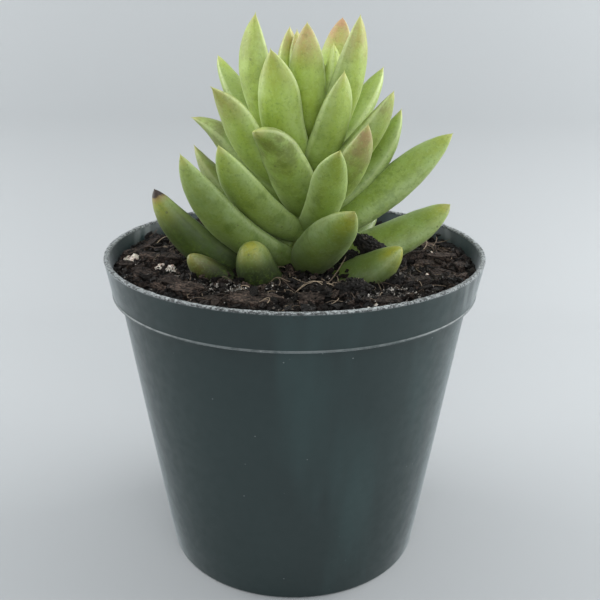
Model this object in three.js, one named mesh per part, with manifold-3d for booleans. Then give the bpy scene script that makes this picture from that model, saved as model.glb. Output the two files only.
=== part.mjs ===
import * as THREE from 'three';
import { mergeVertices } from 'three/addons/utils/BufferGeometryUtils.js';
import Module from 'manifold-3d';

// A small succulent rosette growing in a round nursery pot filled with bark potting mix.
// Millimetres, +Z up. The origin is the centre of the ring that the pot stands on.
// Front is -Y, the side that the plant was seen from.

// Driving dimensions

const TURN_SEGMENTS = 48;      // facets round the pot and the soil
const GAP = 0.3;               // clearance kept between touching pieces
const FLATNESS = 0.08;         // facets nearer to flat than this are merged

// Pot: one thin moulding with a stepped band under its rim.
const POT_HEIGHT = 102.8;
const RIM_RADIUS = 60;         // a 12 cm pot across the rim
const BAND_BOTTOM_Z = 90.6;
const BAND_BOTTOM_RADIUS = 57.7;
const BODY_TOP_RADIUS = 55.5;
const BASE_RADIUS = 41.9;
const WALL = 1.2;
const EDGE = 0.9;              // the small bevel round the base
const LIP_WIDTH = 1.7;
const FOOT_WIDTH = 4;          // the flat ring that the pot stands on
const FLOOR_RISE = 2;          // how far the floor is raised inside that ring
const FLOOR_THICKNESS = 1.4;
const DRAIN_HOLES = 8;
const DRAIN_RADIUS = 3.5;
const DRAIN_CIRCLE_RADIUS = 29;
const DRAIN_SIDES = 12;

// Soil: its level against the pot wall, and how rough its top is.
const SOIL_LEVEL = 98.6;
const SOIL_FRONT_RISE = 1.2;
const SOIL_MOUND = 0.6;
const SOIL_RINGS = 6;
const BARK_CHIPS = 20;
const PERLITE_GRAINS = 10;
const SCATTER_FROM = 12;       // chips and grains lie between these distances from the middle
const SCATTER_TO = 53;

// Stem: it leans a little to the right on its way up.
const STEM_FOOT = new THREE.Vector3(1.5, -3, 88);
const STEM_HEAD = new THREE.Vector3(5.5, -1, 150);
const STEM_BOTTOM_Z = 70;
const STEM_TOP_Z = 141;
const STEM_FOOT_RADIUS = 5;
const STEM_TOP_RADIUS = 2.4;
const STEM_LEVELS = [STEM_BOTTOM_Z, 78, 88, 99, 110, 121, 132, STEM_TOP_Z];
const STEM_SIDES = 10;

// Leaves: each stands one golden angle on from the one before it, and a little lower.
const GOLDEN_ANGLE = 137.5;
const FIRST_AZIMUTH = 178;     // of order 0; 0 is the front, 90 the right
const FIRST_HEIGHT = 138.5;
const HEIGHT_STEP = 1.12;
const LOWEST_HEIGHT = 89;
const UPPER_BULGE = 0.75;      // the upper face is flatter than the lower one
const LOWER_BULGE = 1.2;
const ROOT_WIDTH = 0.62;       // at the root, as fractions of the widest and the thickest
const ROOT_THICKNESS = 0.6;
const WIDEST_AT = 0.45;        // fraction of the length
const THICKEST_AT = 0.42;
const HOOK_FROM = 0.7;
const LEAF_SIDES = 8;
const BUD_SIDES = 6;
const LEAF_STATIONS = [0.1, 0.22, 0.37, 0.53, 0.69, 0.83, 0.94];
const SPINE_STEPS = 48;

// The leaves that the front view shows, youngest first. Angles in degrees, sizes in mm:
// order, turn off the spiral, rise at the root, curl up to the tip, sweep sideways, length,
// width, roll about the leaf's own length and, where the tip hooks outward, the hook's angle.
const SEEN_LEAVES = [
  [2, -6, 64, 26, 0, 30, 12, 0],
  [3, 0, 60, 34, 0, 36, 11, 0],
  [4, -14, 55, 36, 2, 40, 11, -4],
  [5, 4, 53, 20, 0, 44, 12, 4],
  [6, 9, 36, 64, 10, 48, 13, 14],
  [7, -7, 53, 29, -5, 47, 12, -5],
  [9, -13, 33, 68, 18, 43, 13.5, 3, -42],
  [10, 5, 43, 13, -2, 40, 12, 0],
  [11, -1, 39, 21, -2, 46, 12, -5],
  [12, -1, 47, 24, 4, 40, 12.5, 14],
  [14, 3, 22, 56, 7, 48, 12.5, 11, -45],
  [15, -14, 36, 26, -6, 42, 12.5, -6],
  [19, -4, 34, 18, -2, 44, 14, -3, -40],
  [20, -15, 23, 40, -4, 45, 11.5, 0],
  [22, 26, 49, 8, -38, 43, 13.5, 13, -52],
  [23, 2, 25, 44, 4, 46, 12, 10],
  [25, 8, 22, 45, -24, 47, 11, -4, -32],
  [27, 30, 22, 38, 1, 50, 13, 14],
  [28, 18, 25, 24, 12, 56, 13.5, 35, -14],
  [32, 7, 29, 30, 1, 47, 13, 2],
  [35, 1, 18.5, 45, 3, 61, 13.5, 20],
  [36, 3, 6, 31, 7, 51, 13.5, 36],
  [38, 11, 33, 6, 16, 48, 13.5, -37],
  [40, 10, 6, 58, 8, 58, 14.5, 31],
  [41, -5, 5, 41, 3, 42, 15.5, 26],
  [43, -6, -6, 92, 8, 37, 14, 9],
  [48, 2, 1, 51, 0, 43, 11.5, 22, -8],
];
// How blunt a leaf's tip is, from -1 (drawn out to a beak) to 1 (round), its thickness as a
// fraction of its width, and how many degrees its tip nods sideways.
const USUAL_BUILD = [0, 0.66, 0];
const LEAF_BUILDS = new Map([
  [5, [0.5, 0.66, 0]],
  [6, [-0.9, 0.66, 0]],
  [9, [-0.7, 0.66, -12]],
  [11, [0.3, 0.66, 0]],
  [12, [-0.6, 0.66, 0]],
  [14, [-1, 0.66, 0]],
  [19, [-0.2, 0.66, 5]],
  [20, [-0.3, 0.66, 0]],
  [22, [0.7, 0.66, 15]],
  [25, [-0.2, 0.66, 20]],
  [28, [0, 0.66, 10]],
  [36, [0.6, 0.72, 0]],
  [38, [0.3, 0.66, 0]],
  [40, [0.6, 0.72, 0]],
  [41, [0.5, 0.8, 0]],
  [43, [1.3, 0.85, 0]],
  [48, [1, 0.95, 16]],
]);
// The leaves on the far side follow the spiral with small chance departures. The numbers that
// neither list has are leaves that the plant has shed.
const UNSEEN_LEAVES = [
  [1, 30], [8, 0], [13, 0], [16, 0], [18, 0], [21, 0], [24, -14], [26, 0], [29, 0],
  [31, 26], [34, 0], [37, 0], [39, 0], [42, 0], [44, 14], [45, -12],
];
// The smallest leaves, still joined to the growing tip of the stem.
const BUD_LEAVES = [[0, 48], [-1, 0], [-2, 0], [-3, 0], [-4, 0], [-5, 0], [-6, 0]];

// Helpers

const wasm = await Module();
wasm.setup();
const radians = THREE.MathUtils.degToRad;

// Seeded pseudo-random numbers from 0 to 1, the same on every run.
function makeRandom(seed) {
  let state = seed;
  return () => {
    state = (state * 1664525 + 1013904223) % 4294967296;
    return state / 4294967296;
  };
}

// Welds a geometry's corners and drops the triangles that collapse, as at a lathe's poles.
function weld(geometry) {
  geometry.deleteAttribute('normal');
  geometry.deleteAttribute('uv');
  const welded = mergeVertices(geometry, 1e-4);
  const old = welded.index.array;
  const kept = [];
  for (let i = 0; i < old.length; i += 3) {
    const [a, b, c] = [old[i], old[i + 1], old[i + 2]];
    if (a !== b && b !== c && c !== a) kept.push(a, b, c);
  }
  welded.setIndex(kept);
  return welded;
}

function toSolid(geometry) {
  const welded = weld(geometry);
  return new wasm.Manifold(new wasm.Mesh({
    numProp: 3,
    vertProperties: new Float32Array(welded.attributes.position.array),
    triVerts: new Uint32Array(welded.index.array),
  }));
}

// Keeps the largest body of a solid, so that no loose scrap stays beside it.
function largestBody(solid) {
  const bodies = solid.decompose();
  return bodies.reduce((best, body) => (body.volume() > best.volume() ? body : best));
}

function toGeometry(solid) {
  const mesh = largestBody(solid.simplify(FLATNESS)).getMesh();
  const geometry = new THREE.BufferGeometry();
  const corners = new THREE.Float32BufferAttribute(mesh.vertProperties, 3);
  geometry.setAttribute('position', corners);
  geometry.setIndex(Array.from(mesh.triVerts));
  return geometry;
}

function boxesMeet(a, b) {
  return [0, 1, 2].every((axis) => a.min[axis] <= b.max[axis] && b.min[axis] <= a.max[axis]);
}

// Stacks rings of points into one closed skin, with a pole at each end.
function skinRings(firstPole, rings, lastPole) {
  const sides = rings[0].length;
  const points = [firstPole, ...rings.flat(), lastPole];
  const last = points.length - 1;
  const index = [];
  for (let side = 0; side < sides; side += 1) {
    const next = (side + 1) % sides;
    index.push(0, 1 + next, 1 + side);
    for (let ring = 0; ring < rings.length - 1; ring += 1) {
      const low = 1 + ring * sides;
      const high = low + sides;
      index.push(low + side, low + next, high + next);
      index.push(low + side, high + next, high + side);
    }
    const top = 1 + (rings.length - 1) * sides;
    index.push(last, top + side, top + next);
  }
  const geometry = new THREE.BufferGeometry().setFromPoints(points);
  geometry.setIndex(index);
  return geometry;
}

// Pot

const FLOOR_TOP = FLOOR_RISE + FLOOR_THICKNESS;

function potOuterRadius(z) {
  return THREE.MathUtils.mapLinear(z, 0, BAND_BOTTOM_Z, BASE_RADIUS, BODY_TOP_RADIUS);
}

// The inside of the pot from the floor to the lip, as [radius, height] corners.
const POT_INSIDE = [
  [potOuterRadius(FLOOR_TOP) - WALL - 1, FLOOR_TOP],
  [potOuterRadius(FLOOR_TOP + 1) - WALL, FLOOR_TOP + 1],
  [BODY_TOP_RADIUS - WALL, BAND_BOTTOM_Z - 1],
  [BAND_BOTTOM_RADIUS - WALL, BAND_BOTTOM_Z + 1.2],
  [RIM_RADIUS - LIP_WIDTH - 0.1, POT_HEIGHT - 0.7],
];

function potInnerRadius(z) {
  for (let i = 1; i < POT_INSIDE.length; i += 1) {
    const [lowRadius, lowZ] = POT_INSIDE[i - 1];
    const [highRadius, highZ] = POT_INSIDE[i];
    if (z <= highZ) return THREE.MathUtils.mapLinear(z, lowZ, highZ, lowRadius, highRadius);
  }
  return RIM_RADIUS - LIP_WIDTH;
}

function makePot() {
  const outline = [
    [0, FLOOR_RISE],
    [BASE_RADIUS - FOOT_WIDTH - FLOOR_RISE, FLOOR_RISE],
    [BASE_RADIUS - FOOT_WIDTH - EDGE, 0],
    [BASE_RADIUS - EDGE, 0],
    [potOuterRadius(EDGE), EDGE],
    [BODY_TOP_RADIUS, BAND_BOTTOM_Z - 0.3],
    [BAND_BOTTOM_RADIUS - 0.6, BAND_BOTTOM_Z],
    [BAND_BOTTOM_RADIUS, BAND_BOTTOM_Z + 0.8],
    [RIM_RADIUS - 0.1, POT_HEIGHT - 0.8],
    [RIM_RADIUS - 0.5, POT_HEIGHT],
    [RIM_RADIUS - LIP_WIDTH + 0.4, POT_HEIGHT],
    ...[...POT_INSIDE].reverse(),
    [0, FLOOR_TOP],
  ].map(([radius, z]) => new THREE.Vector2(radius, z));
  const shell = new THREE.LatheGeometry(outline, TURN_SEGMENTS);
  shell.rotateX(Math.PI / 2);
  let pot = toSolid(shell);
  for (let hole = 0; hole < DRAIN_HOLES; hole += 1) {
    const angle = ((hole + 0.5) / DRAIN_HOLES) * Math.PI * 2;
    const drill = new THREE.CylinderGeometry(DRAIN_RADIUS, DRAIN_RADIUS, 12, DRAIN_SIDES);
    drill.rotateX(Math.PI / 2);
    drill.translate(
      Math.cos(angle) * DRAIN_CIRCLE_RADIUS,
      Math.sin(angle) * DRAIN_CIRCLE_RADIUS,
      FLOOR_RISE,
    );
    pot = pot.subtract(toSolid(drill));
  }
  return pot;
}

// Stem and leaves

// The stem's middle line at a height.
function stemAxis(z) {
  const along = (z - STEM_FOOT.z) / (STEM_HEAD.z - STEM_FOOT.z);
  return STEM_FOOT.clone().lerp(STEM_HEAD, along);
}

function stemRadius(z) {
  return THREE.MathUtils.mapLinear(z, STEM_FOOT.z, STEM_TOP_Z, STEM_FOOT_RADIUS, STEM_TOP_RADIUS);
}

function makeStemTube(grow) {
  const rings = STEM_LEVELS.map((z, level) => {
    const ends = level === 0 || level === STEM_LEVELS.length - 1;
    const radius = (ends ? 0.7 : 1) * Math.min(stemRadius(z), STEM_FOOT_RADIUS) + grow;
    const centre = stemAxis(z);
    return Array.from({ length: STEM_SIDES }, (unused, side) => {
      const angle = (side / STEM_SIDES) * Math.PI * 2;
      const across = new THREE.Vector3(Math.cos(angle), Math.sin(angle), 0);
      return centre.clone().addScaledVector(across, radius);
    });
  });
  const bottom = stemAxis(STEM_BOTTOM_Z - 1 - grow);
  const top = stemAxis(STEM_TOP_Z + 1 + grow);
  return toSolid(skinRings(bottom, rings, top));
}

// How a leaf stands by rule at its place in the spiral.
function habit(order) {
  const age = Math.max(order, 0);
  const [blunt, thicknessRatio, nod] = LEAF_BUILDS.get(order) ?? USUAL_BUILD;
  return {
    blunt,
    thicknessRatio,
    nod,
    azimuth: FIRST_AZIMUTH + GOLDEN_ANGLE * order,
    height: Math.max(FIRST_HEIGHT - HEIGHT_STEP * order, LOWEST_HEIGHT),
    rise: 58 - 1.3 * age,
    curl: 30,
    sweep: 0,
    length: Math.min(24 + 2.5 * age, 40 + 0.3 * Math.min(age, 32)) - 1.5 * Math.max(age - 36, 0),
    width: 11.5 + 0.04 * age,
    roll: 0,
    hook: 0,
  };
}

function seenLeaf([order, turn, rise, curl, sweep, length, width, roll, hook = 0]) {
  const rule = habit(order);
  const azimuth = rule.azimuth + turn;
  return { ...rule, order, azimuth, rise, curl, sweep, length, width, roll, hook };
}

function unseenLeaf([order, turn], random) {
  const rule = habit(order);
  const chance = (spread) => (random() - 0.5) * 2 * spread;
  return {
    ...rule,
    order,
    azimuth: rule.azimuth + turn + chance(4),
    rise: rule.rise + chance(3),
    curl: rule.curl + chance(6),
    length: rule.length + chance(1.5),
    roll: chance(6),
  };
}

function budLeaf([order, turn]) {
  const rule = habit(order);
  const youth = -order;
  return {
    ...rule,
    azimuth: rule.azimuth + turn,
    order,
    rise: 72 + 1.5 * youth,
    curl: 14,
    length: youth === 0 ? 31 : 25 - 2.5 * youth,
    width: 8.5 - 0.6 * youth,
  };
}

function leafDirection(leaf, along) {
  const nearTip = Math.max(along - HOOK_FROM, 0) / (1 - HOOK_FROM);
  const azimuth = radians(leaf.azimuth + leaf.sweep * along + leaf.nod * nearTip);
  const rise = radians(leaf.rise + leaf.curl * along + leaf.hook * nearTip);
  const forward = new THREE.Vector3(
    Math.sin(azimuth) * Math.cos(rise),
    -Math.cos(azimuth) * Math.cos(rise),
    Math.sin(rise),
  );
  const across = new THREE.Vector3(Math.cos(azimuth), Math.sin(azimuth), 0);
  return { forward, across, up: forward.clone().cross(across) };
}

// Half the leaf's width, as a fraction of its widest: a stout root, a long belly, a pointed tip.
function widthProfile(along, blunt) {
  if (along < WIDEST_AT) {
    return ROOT_WIDTH + (1 - ROOT_WIDTH) * Math.sin((along / WIDEST_AT) * Math.PI / 2);
  }
  const past = (along - WIDEST_AT) / (1 - WIDEST_AT);
  const shoulder = 3 - blunt * (blunt > 0 ? 0.4 : 1);
  const taper = 0.9 - blunt * (blunt > 0 ? 0.4 : 0.3);
  return Math.max(1 - past ** shoulder, 0) ** taper;
}

function thicknessProfile(along, blunt) {
  if (along < THICKEST_AT) {
    return ROOT_THICKNESS + (1 - ROOT_THICKNESS) * Math.sin((along / THICKEST_AT) * Math.PI / 2);
  }
  const past = (along - THICKEST_AT) / (1 - THICKEST_AT);
  const taper = 0.85 - blunt * (blunt > 0 ? 0.35 : 0.1);
  return Math.max(1 - past ** 2.2, 0) ** taper;
}

// One fleshy leaf: a lens-shaped section, flatter above, carried along a curved spine.
function makeLeaf(leaf, grow = 0, sides = LEAF_SIDES) {
  const spineAt = [stemAxis(leaf.height)];
  for (let step = 0; step < SPINE_STEPS; step += 1) {
    const { forward } = leafDirection(leaf, (step + 0.5) / SPINE_STEPS);
    const reach = leaf.length / SPINE_STEPS;
    spineAt.push(spineAt[step].clone().addScaledVector(forward, reach));
  }
  const pointAt = (along) => {
    const place = along * SPINE_STEPS;
    const step = Math.min(Math.floor(place), SPINE_STEPS - 1);
    return spineAt[step].clone().lerp(spineAt[step + 1], place - step);
  };
  const roll = radians(leaf.roll);
  const rings = LEAF_STATIONS.map((along) => {
    const { across, up } = leafDirection(leaf, along);
    const halfWidth = widthProfile(along, leaf.blunt) * leaf.width / 2 + grow;
    const thickest = leaf.width * leaf.thicknessRatio / 2;
    const halfThickness = thicknessProfile(along, leaf.blunt) * thickest + grow;
    return Array.from({ length: sides }, (unused, side) => {
      const angle = (side / sides) * Math.PI * 2;
      const x = Math.cos(angle) * halfWidth;
      const bulge = Math.sin(angle) > 0 ? UPPER_BULGE : LOWER_BULGE;
      const y = Math.sin(angle) * halfThickness * bulge;
      return pointAt(along)
        .addScaledVector(across, x * Math.cos(roll) - y * Math.sin(roll))
        .addScaledVector(up, x * Math.sin(roll) + y * Math.cos(roll));
    });
  });
  const rootEnd = pointAt(LEAF_STATIONS[0])
    .addScaledVector(leafDirection(leaf, 0).forward, -0.6 - grow);
  const tip = pointAt(1).addScaledVector(leafDirection(leaf, 1).forward, grow);
  return toSolid(skinRings(rootEnd, rings, tip));
}

// Cuts each leaf back where it presses on the stem or on a leaf placed before it.
function makeLeaves(leaves, stemClearance) {
  const placed = [];
  for (const leaf of leaves) {
    let solid = makeLeaf(leaf).subtract(stemClearance);
    for (const other of placed) {
      if (boxesMeet(solid.boundingBox(), other.clearance.boundingBox())) {
        solid = solid.subtract(other.clearance);
      }
    }
    placed.push({ leaf, solid, clearance: makeLeaf(leaf, GAP) });
  }
  return placed;
}

// Soil

function soilTop(x, y) {
  const fromMiddle = Math.hypot(x, y) / RIM_RADIUS;
  const waves = 0.7 * Math.sin(x / 6.3 + 1.1) * Math.cos(y / 5.4 - 0.6)
    + 0.5 * Math.sin((x + y) / 3.9 + 2) + 0.4 * Math.cos((x - 1.4 * y) / 3.1);
  const slope = SOIL_FRONT_RISE * (-y / RIM_RADIUS) + SOIL_MOUND * (1 - fromMiddle);
  return SOIL_LEVEL + slope + waves;
}

function turnedRing(radiusAt, heightAt) {
  return Array.from({ length: TURN_SEGMENTS }, (unused, i) => {
    const angle = (i / TURN_SEGMENTS) * Math.PI * 2;
    const radius = radiusAt(angle);
    const x = Math.cos(angle) * radius;
    const y = Math.sin(angle) * radius;
    return new THREE.Vector3(x, y, heightAt(x, y));
  });
}

// Rings up the inside of the pot's wall, a clearance away from it.
function wallRings(clearance) {
  return [FLOOR_TOP + GAP, FLOOR_TOP + 1.3, BAND_BOTTOM_Z - 1.2, BAND_BOTTOM_Z + 1.4]
    .map((z) => turnedRing(() => potInnerRadius(z) - clearance, () => z));
}

// The room inside the pot, open upward, that chips and grains may not leave.
function makeRoom() {
  const lip = turnedRing(() => potInnerRadius(POT_HEIGHT - 1) - GAP, () => POT_HEIGHT - 1);
  const above = turnedRing(() => RIM_RADIUS - LIP_WIDTH - 0.8, () => POT_HEIGHT + 10);
  const bottomPole = new THREE.Vector3(0, 0, FLOOR_TOP);
  const topPole = new THREE.Vector3(0, 0, POT_HEIGHT + 12);
  return toSolid(skinRings(bottomPole, [...wallRings(GAP), lip, above], topPole));
}

function makeSoilBody() {
  const clearance = GAP + 0.1;
  const edgeRadius = (angle) => {
    const radius = RIM_RADIUS - 2;
    const z = soilTop(Math.cos(angle) * radius, Math.sin(angle) * radius);
    return potInnerRadius(z) - clearance;
  };
  const topRings = Array.from({ length: SOIL_RINGS }, (unused, ring) => (
    turnedRing((angle) => edgeRadius(angle) * (1 - ring / SOIL_RINGS), soilTop)
  ));
  const bottomPole = new THREE.Vector3(0, 0, FLOOR_TOP + GAP + 0.1);
  const topPole = new THREE.Vector3(0, 0, soilTop(0, 0));
  return toSolid(skinRings(bottomPole, [...wallRings(clearance), ...topRings], topPole));
}

// Bark chips and perlite grains lie half sunk in the top of the soil and are one body with it.
function makeSoil() {
  const random = makeRandom(11);
  let soil = makeSoilBody();
  const scatter = () => {
    const angle = random() * Math.PI * 2;
    const radius = SCATTER_FROM + (SCATTER_TO - SCATTER_FROM) * Math.sqrt(random());
    return [Math.cos(angle) * radius, Math.sin(angle) * radius];
  };
  for (let chip = 0; chip < BARK_CHIPS; chip += 1) {
    const [x, y] = scatter();
    const length = 6 + 8 * random();
    const slab = new THREE.BoxGeometry(length, length * 0.42, 2.2 + random());
    slab.rotateX((random() - 0.5) * 0.7);
    slab.rotateY((random() - 0.5) * 0.5);
    slab.rotateZ(random() * Math.PI * 2);
    slab.translate(x, y, soilTop(x, y) + 0.4);
    soil = soil.add(toSolid(slab));
  }
  for (let grain = 0; grain < PERLITE_GRAINS; grain += 1) {
    const [x, y] = scatter();
    const lump = new THREE.IcosahedronGeometry(1.2 + random(), 0);
    lump.translate(x, y, soilTop(x, y) + 0.5);
    soil = soil.add(toSolid(lump));
  }
  return soil.intersect(makeRoom());
}

// Assembly

const MATERIALS = {
  pot: { color: 0x3b4947, roughness: 0.5, metalness: 0 },
  soil: { color: 0x2c221b, roughness: 0.95, metalness: 0 },
  stem: { color: 0x93a866, roughness: 0.6, metalness: 0 },
};
const YOUNG_LEAF = new THREE.Color(0xa9c470);
const OLD_LEAF = new THREE.Color(0x7f9a62);

const group = new THREE.Group();
group.name = 'potted_sedeveria';

function addNode(name, solid, look) {
  const mesh = new THREE.Mesh(toGeometry(solid), new THREE.MeshStandardMaterial(look));
  mesh.name = name;
  group.add(mesh);
}

const random = makeRandom(5);
const seen = SEEN_LEAVES.map(seenLeaf).reverse();
const unseen = UNSEEN_LEAVES.map((row) => unseenLeaf(row, random)).reverse();
const stemClearance = makeStemTube(GAP);
const leaves = makeLeaves([...seen, ...unseen], stemClearance);

let stem = makeStemTube(0);
for (const row of BUD_LEAVES) stem = stem.add(makeLeaf(budLeaf(row), 0, BUD_SIDES));
for (const { clearance } of leaves) stem = stem.subtract(clearance);

let soil = makeSoil().subtract(stemClearance);
for (const { clearance } of leaves) soil = soil.subtract(clearance);

addNode('pot', makePot(), MATERIALS.pot);
addNode('soil', soil, MATERIALS.soil);
addNode('stem', stem, MATERIALS.stem);
for (const { leaf, solid } of leaves.sort((a, b) => a.leaf.order - b.leaf.order)) {
  const name = `leaf_${String(leaf.order).padStart(2, '0')}`;
  const color = YOUNG_LEAF.clone().lerp(OLD_LEAF, leaf.order / 48);
  addNode(name, solid, { color, roughness: 0.55, metalness: 0 });
}

export default group;
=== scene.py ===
"""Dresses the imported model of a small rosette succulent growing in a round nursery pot.

Metres, +Z up. The origin is the centre of the ring that the pot stands on, and -Y is the front.
"""

import math
import random

import bpy
import numpy as np
from bpy.props import FloatProperty, FloatVectorProperty, IntProperty, PointerProperty
from mathutils import Matrix, Vector, noise


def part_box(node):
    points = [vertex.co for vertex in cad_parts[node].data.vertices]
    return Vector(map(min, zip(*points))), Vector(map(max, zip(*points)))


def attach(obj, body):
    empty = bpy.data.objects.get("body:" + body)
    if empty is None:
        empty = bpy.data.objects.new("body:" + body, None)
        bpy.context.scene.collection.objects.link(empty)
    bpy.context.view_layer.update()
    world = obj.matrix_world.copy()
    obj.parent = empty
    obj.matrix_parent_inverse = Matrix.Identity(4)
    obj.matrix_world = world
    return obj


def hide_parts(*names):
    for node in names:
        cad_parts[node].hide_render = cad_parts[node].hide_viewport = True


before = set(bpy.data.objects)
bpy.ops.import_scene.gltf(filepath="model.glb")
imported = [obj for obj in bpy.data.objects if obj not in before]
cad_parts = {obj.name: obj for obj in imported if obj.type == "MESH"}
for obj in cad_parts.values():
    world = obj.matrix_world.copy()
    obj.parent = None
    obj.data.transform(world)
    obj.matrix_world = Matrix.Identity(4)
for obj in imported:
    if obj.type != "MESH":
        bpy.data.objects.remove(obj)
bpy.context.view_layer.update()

bl_info = {
    "name": "Potted Rosette Succulent",
    "version": (1, 0, 0),
    "blender": (4, 5, 0),
    "location": "3D View > Sidebar > Succulent",
    "description": "Dresses a packed model of a rosette succulent in a nursery pot",
    "category": "Object",
}

BODY = "root"
MM = 0.001

# Pot

POT_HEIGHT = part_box("pot")[1].z
RIM_RADIUS = 60 * MM
BAND_BOTTOM_Z = 90.6 * MM
BAND_BOTTOM_RADIUS = 57.7 * MM
BODY_TOP_RADIUS = 55.5 * MM
BASE_RADIUS = 41.9 * MM
WALL = 1.2 * MM
LIP_WIDTH = 1.7 * MM
EDGE = 0.9 * MM
FOOT_WIDTH = 4 * MM
FLOOR_RISE = 2 * MM
FLOOR_THICKNESS = 1.4 * MM
DRAIN_HOLES = 8
DRAIN_RADIUS = 3.5 * MM
DRAIN_CIRCLE_RADIUS = 29 * MM
POT_SEGMENTS = 480
# Where painted highlight streaks stand on the band, across from left to right
SIDE_HIGHLIGHT_STREAKS = (-54 * MM, -51.5 * MM, 49.5 * MM, 53 * MM)
BULGE = 0.8 * MM            # how far the thin rim is pushed out of round at the back right
BULGE_TOWARDS = math.radians(48)

# Soil

SOIL_LEVEL = 98.6 * MM
SOIL_FRONT_RISE = 1.2 * MM
SOIL_MOUND = 0.6 * MM
SOIL_SEGMENTS = 360
SOIL_RINGS = 96

# Stem: it leans a little to the right on its way up.

STEM_FOOT = Vector((1.5, -3, 88)) * MM
STEM_HEAD = Vector((5.5, -1, 150)) * MM
STEM_BOTTOM_Z = 80 * MM
STEM_TOP_Z = 142 * MM
STEM_FOOT_RADIUS = 5 * MM
STEM_TOP_RADIUS = 2.4 * MM

# Leaves: each stands one golden angle on from the one before it, and a little lower.

GOLDEN_ANGLE = 137.5
FIRST_AZIMUTH = 178         # of order 0; 0 is the front, 90 the right
FIRST_HEIGHT = 138.5 * MM
HEIGHT_STEP = 1.12 * MM
LOWEST_HEIGHT = 89 * MM
WIDEST_AT = 0.45
THICKEST_AT = 0.42
ROOT_WIDTH = 0.62
ROOT_THICKNESS = 0.6
UPPER_BULGE = 0.75
LOWER_BULGE = 1.2
HOOK_FROM = 0.7
SPINE_STEPS = 48
BLANK_SIDES = 32
BLANK_RINGS = 60
TIP_POINT = 0.45 * MM       # the small hard point that the tip ends in

# The leaves that the front view shows, youngest first. Angles in degrees, sizes in millimetres:
# order, turn off the spiral, rise at the root, curl up to the tip, sweep sideways, length,
# width, roll about the leaf's own length and, where the tip hooks outward, the hook's angle.
SEEN_LEAVES = [
    (2, -6, 64, 26, 0, 30, 12, 0),
    (3, 0, 60, 34, 0, 36, 11, 0),
    (4, -14, 55, 36, 2, 40, 11, -4),
    (5, 4, 53, 20, 0, 44, 12, 4),
    (6, 9, 36, 64, 10, 48, 13, 14),
    (7, -7, 53, 29, -5, 47, 12, -5),
    (9, -13, 33, 68, 18, 43, 13.5, 3, -42),
    (10, 5, 43, 13, -2, 40, 12, 0),
    (11, -1, 39, 21, -2, 46, 12, -5),
    (12, -1, 47, 24, 4, 40, 12.5, 14),
    (14, 3, 22, 56, 7, 48, 12.5, 11, -45),
    (15, -14, 36, 26, -6, 42, 12.5, -6),
    (19, -4, 34, 18, -2, 44, 14, -3, -40),
    (20, -15, 23, 40, -4, 45, 11.5, 0),
    (22, 26, 49, 8, -38, 43, 13.5, 13, -52),
    (23, 2, 25, 44, 4, 46, 12, 10),
    (25, 8, 22, 45, -24, 47, 11, -4, -32),
    (27, 30, 22, 38, 1, 50, 13, 14),
    (28, 18, 25, 24, 12, 56, 13.5, 35, -14),
    (32, 7, 29, 30, 1, 47, 13, 2),
    (35, 1, 18.5, 45, 3, 61, 13.5, 20),
    (36, 3, 6, 31, 7, 51, 13.5, 36),
    (38, 11, 33, 6, 16, 48, 13.5, -37),
    (40, 10, 6, 58, 8, 58, 14.5, 31),
    (41, -5, 5, 41, 3, 42, 15.5, 26),
    (43, -6, -6, 92, 8, 37, 14, 9),
    (48, 2, 1, 51, 0, 43, 11.5, 22, -8),
]
UNSEEN_LEAVES = [
    (1, 30), (8, 0), (13, 0), (16, 0), (18, 0), (21, 0), (24, -14), (26, 0), (29, 0),
    (31, 26), (34, 0), (37, 0), (39, 0), (42, 0), (44, 14), (45, -12),
]
BUD_LEAVES = [(0, 48), (-1, 0), (-2, 0), (-3, 0), (-4, 0), (-5, 0), (-6, 0)]

# How blunt the tip is, from -1 (drawn out to a beak) up to 1.3 (round), the thickness as a share
# of the width, and how many degrees the tip nods sideways.
LEAF_BUILDS = {
    5: (0.5, 0.66, 0), 6: (-0.9, 0.66, 0), 9: (-0.7, 0.66, -12), 11: (0.3, 0.66, 0),
    12: (-0.6, 0.66, 0), 14: (-1, 0.66, 0), 19: (-0.2, 0.66, 5), 20: (-0.3, 0.66, 0),
    22: (0.7, 0.66, 15), 25: (-0.2, 0.66, 20), 28: (0, 0.66, 10), 36: (0.6, 0.72, 0),
    38: (0.3, 0.66, 0), 40: (0.6, 0.72, 0), 41: (0.5, 0.8, 0), 43: (1.3, 0.85, 0),
    48: (1, 0.95, 16),
}
USUAL_BUILD = (0, 0.66, 0)
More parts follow.
